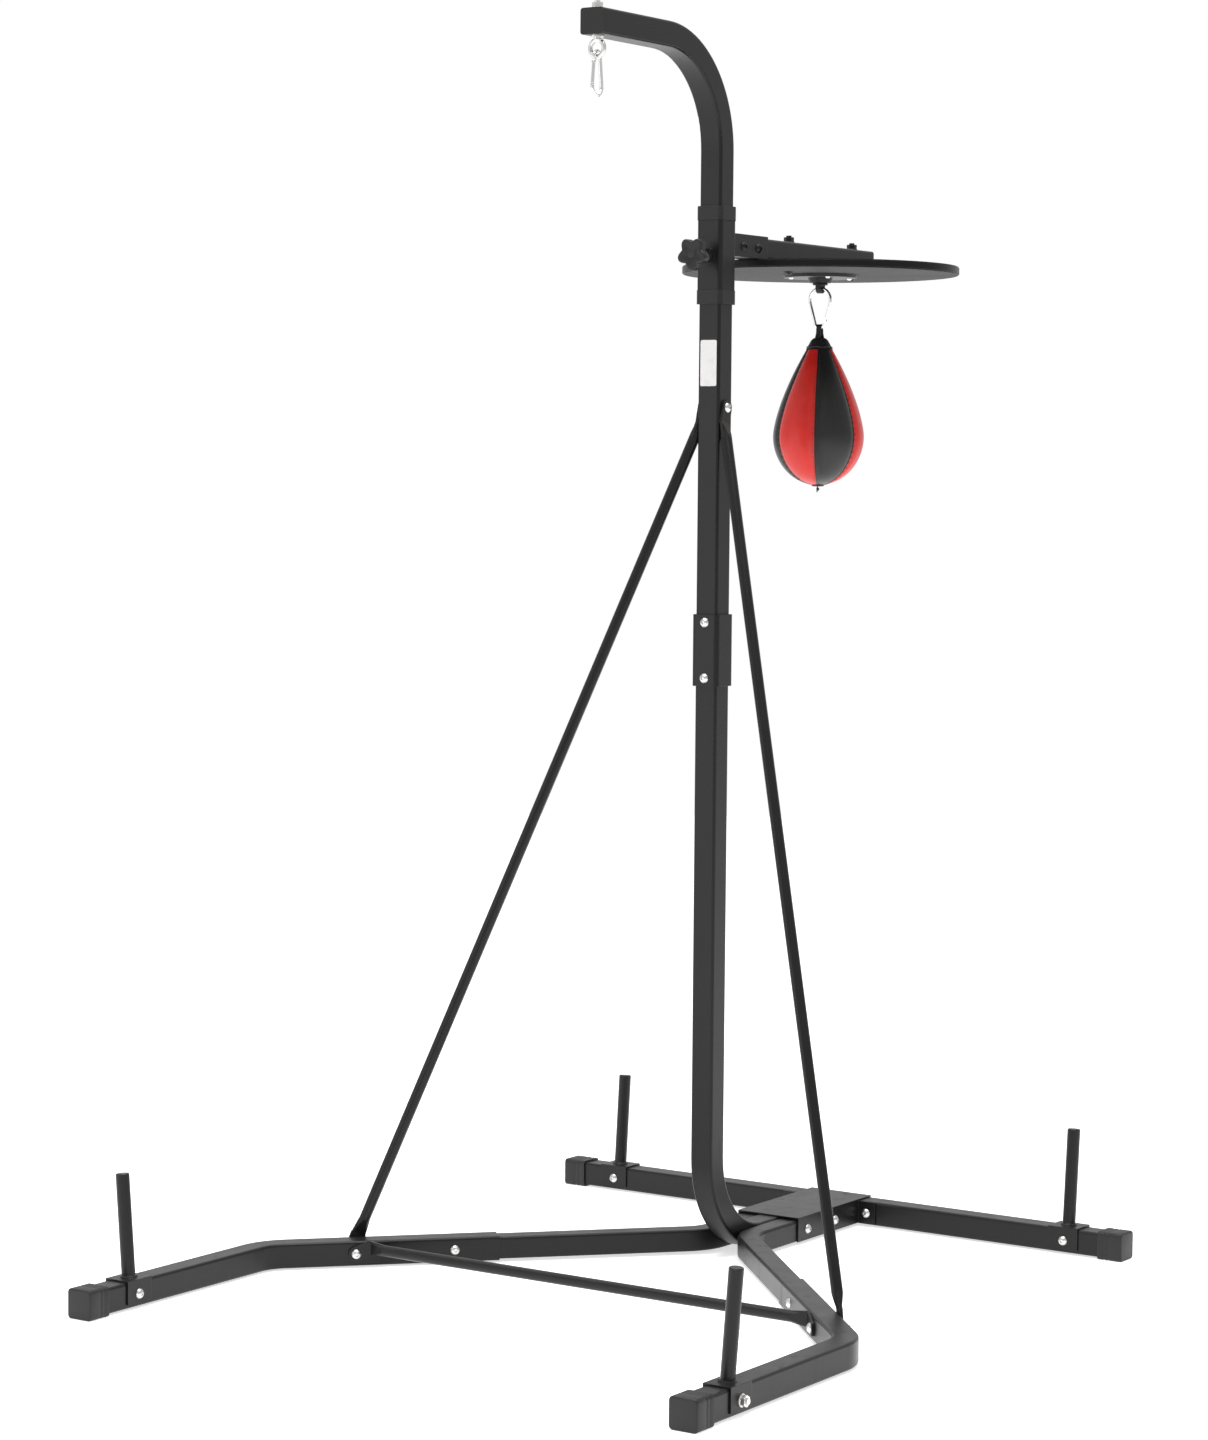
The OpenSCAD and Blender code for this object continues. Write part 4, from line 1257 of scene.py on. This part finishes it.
@dataclass
class Studio:
    """Camera, pale floor and soft light."""

    spot: tuple[float, float, float] = (5.2157, 3.4384, 1.4066)
    heading: float = 214.17
    pitch: float = -3.747
    roll: float = 0.474
    lens: float = 88.98
    dusk: float = 0.60
    floor_radius: float = 9.0
    LAMPS: ClassVar[tuple[tuple[Any, ...], ...]] = (
        ("overhead", (0.3, 0.0, 5.2), (0.3, 0.0, 0.0), 4.0, 260.0),
        ("front", (4.9, -3.4, 1.7), (0.0, 0.0, 1.1), 3.0, 42.0))

    def build(self) -> None:
        """Sets up everything that isn't part of the stand."""
        self.place_camera()
        self.lay_floor()
        self.light()

    def place_camera(self) -> None:
        """Stands the camera where the view calls for it."""
        data = bpy.data.cameras.new("camera")
        data.lens = self.lens
        data.sensor_width = 36.0
        data.clip_start, data.clip_end = 0.05, 200.0
        camera = linked("camera", data)
        level, tilt = math.radians(self.heading), math.radians(self.pitch)
        ahead = Vector((math.cos(level) * math.cos(tilt), math.sin(level) * math.cos(tilt),
                        math.sin(tilt)))
        right = ahead.cross(Vector((0, 0, 1))).normalized()
        up = right.cross(ahead)
        turned = Matrix.Rotation(-math.radians(self.roll), 3, ahead)
        right, up = turned @ right, turned @ up
        camera.matrix_world = Matrix.Translation(self.spot) @ Matrix(
            (right, up, -ahead)).transposed().to_4x4()
        bpy.context.scene.camera = camera

    def lay_floor(self) -> None:
        """Lays the pale floor."""
        bm = bmesh.new()
        bmesh.ops.create_circle(bm, cap_ends=True, radius=self.floor_radius, segments=128)
        floor = to_object("studio_floor", bm, (Finish.FLOOR,), smooth=False)

    def light(self) -> None:
        """White backdrop in a dimmer room, a large soft light overhead and one in front."""
        world = bpy.data.worlds.new("studio")
        bpy.context.scene.world = world
        recipe = Recipe(world)
        level = math.radians(self.heading)
        backdrop = (math.cos(level), math.sin(level), 0.0)
        at = recipe.node("ShaderNodeTexCoord", output="Generated")
        white = recipe.ramp(recipe.facing(at, backdrop), ((0.10, self.dusk), (0.88, 1.0)))
        shader = recipe.node("ShaderNodeBackground", None, {"Color": grey(1.0), "Strength": white})
        recipe.node("ShaderNodeOutputWorld", None, {"Surface": shader})
        for lamp in self.LAMPS:
            self.area(*lamp)
        bpy.context.scene.view_settings.view_transform = "Standard"

    def area(self, name: str, spot: Sequence[float], aim: Sequence[float], size: float,
             power: float) -> None:
        """Hangs one square area light.

        Args:
            name: Name of the light.
            spot: Where it hangs.
            aim: What it points at.
            size: Side of the light.
            power: Watts.
        """
        data = bpy.data.lights.new(name, "AREA")
        data.size, data.energy = size, power
        lamp = linked(name, data)
        away = Vector(spot) - Vector(aim)
        turned = away.to_track_quat("Z", "Y").to_matrix().to_4x4()
        lamp.matrix_world = Matrix.Translation(spot) @ turned


# ---- assembly

TUBE_ENDS = (("front_cap_left", 0, 1), ("front_cap_right", 0, 1),
             ("rear_cap_left", 1, -1), ("rear_cap_right", 1, 1))


def dress_frame() -> None:
    """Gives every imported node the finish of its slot."""
    slots = {entry["node"]: entry["material_slot"] for entry in frame["record"]["subparts"]}
    for name, node in frame["nodes"].items():
        finish = Finish[slots[name].upper()]
        node.data.materials.clear()
        node.data.materials.append(finish.material())
        log.info("%s: %s", name, finish.name.lower())


def main() -> None:
    """Builds the scene in order and reports each piece."""
    logging.basicConfig(level=logging.INFO, format="%(name)s: %(message)s")
    Studio().build()
    dress_frame()
    SpeedBag().build()
    HangingLoop().build()
    for node, axis, sign in TUBE_ENDS:
        TubeCap(node, axis, sign).build()
    StarKnob().build()
    BlankLabel().build()
    WeldShop().build()


if __name__ == "__main__":
    main()
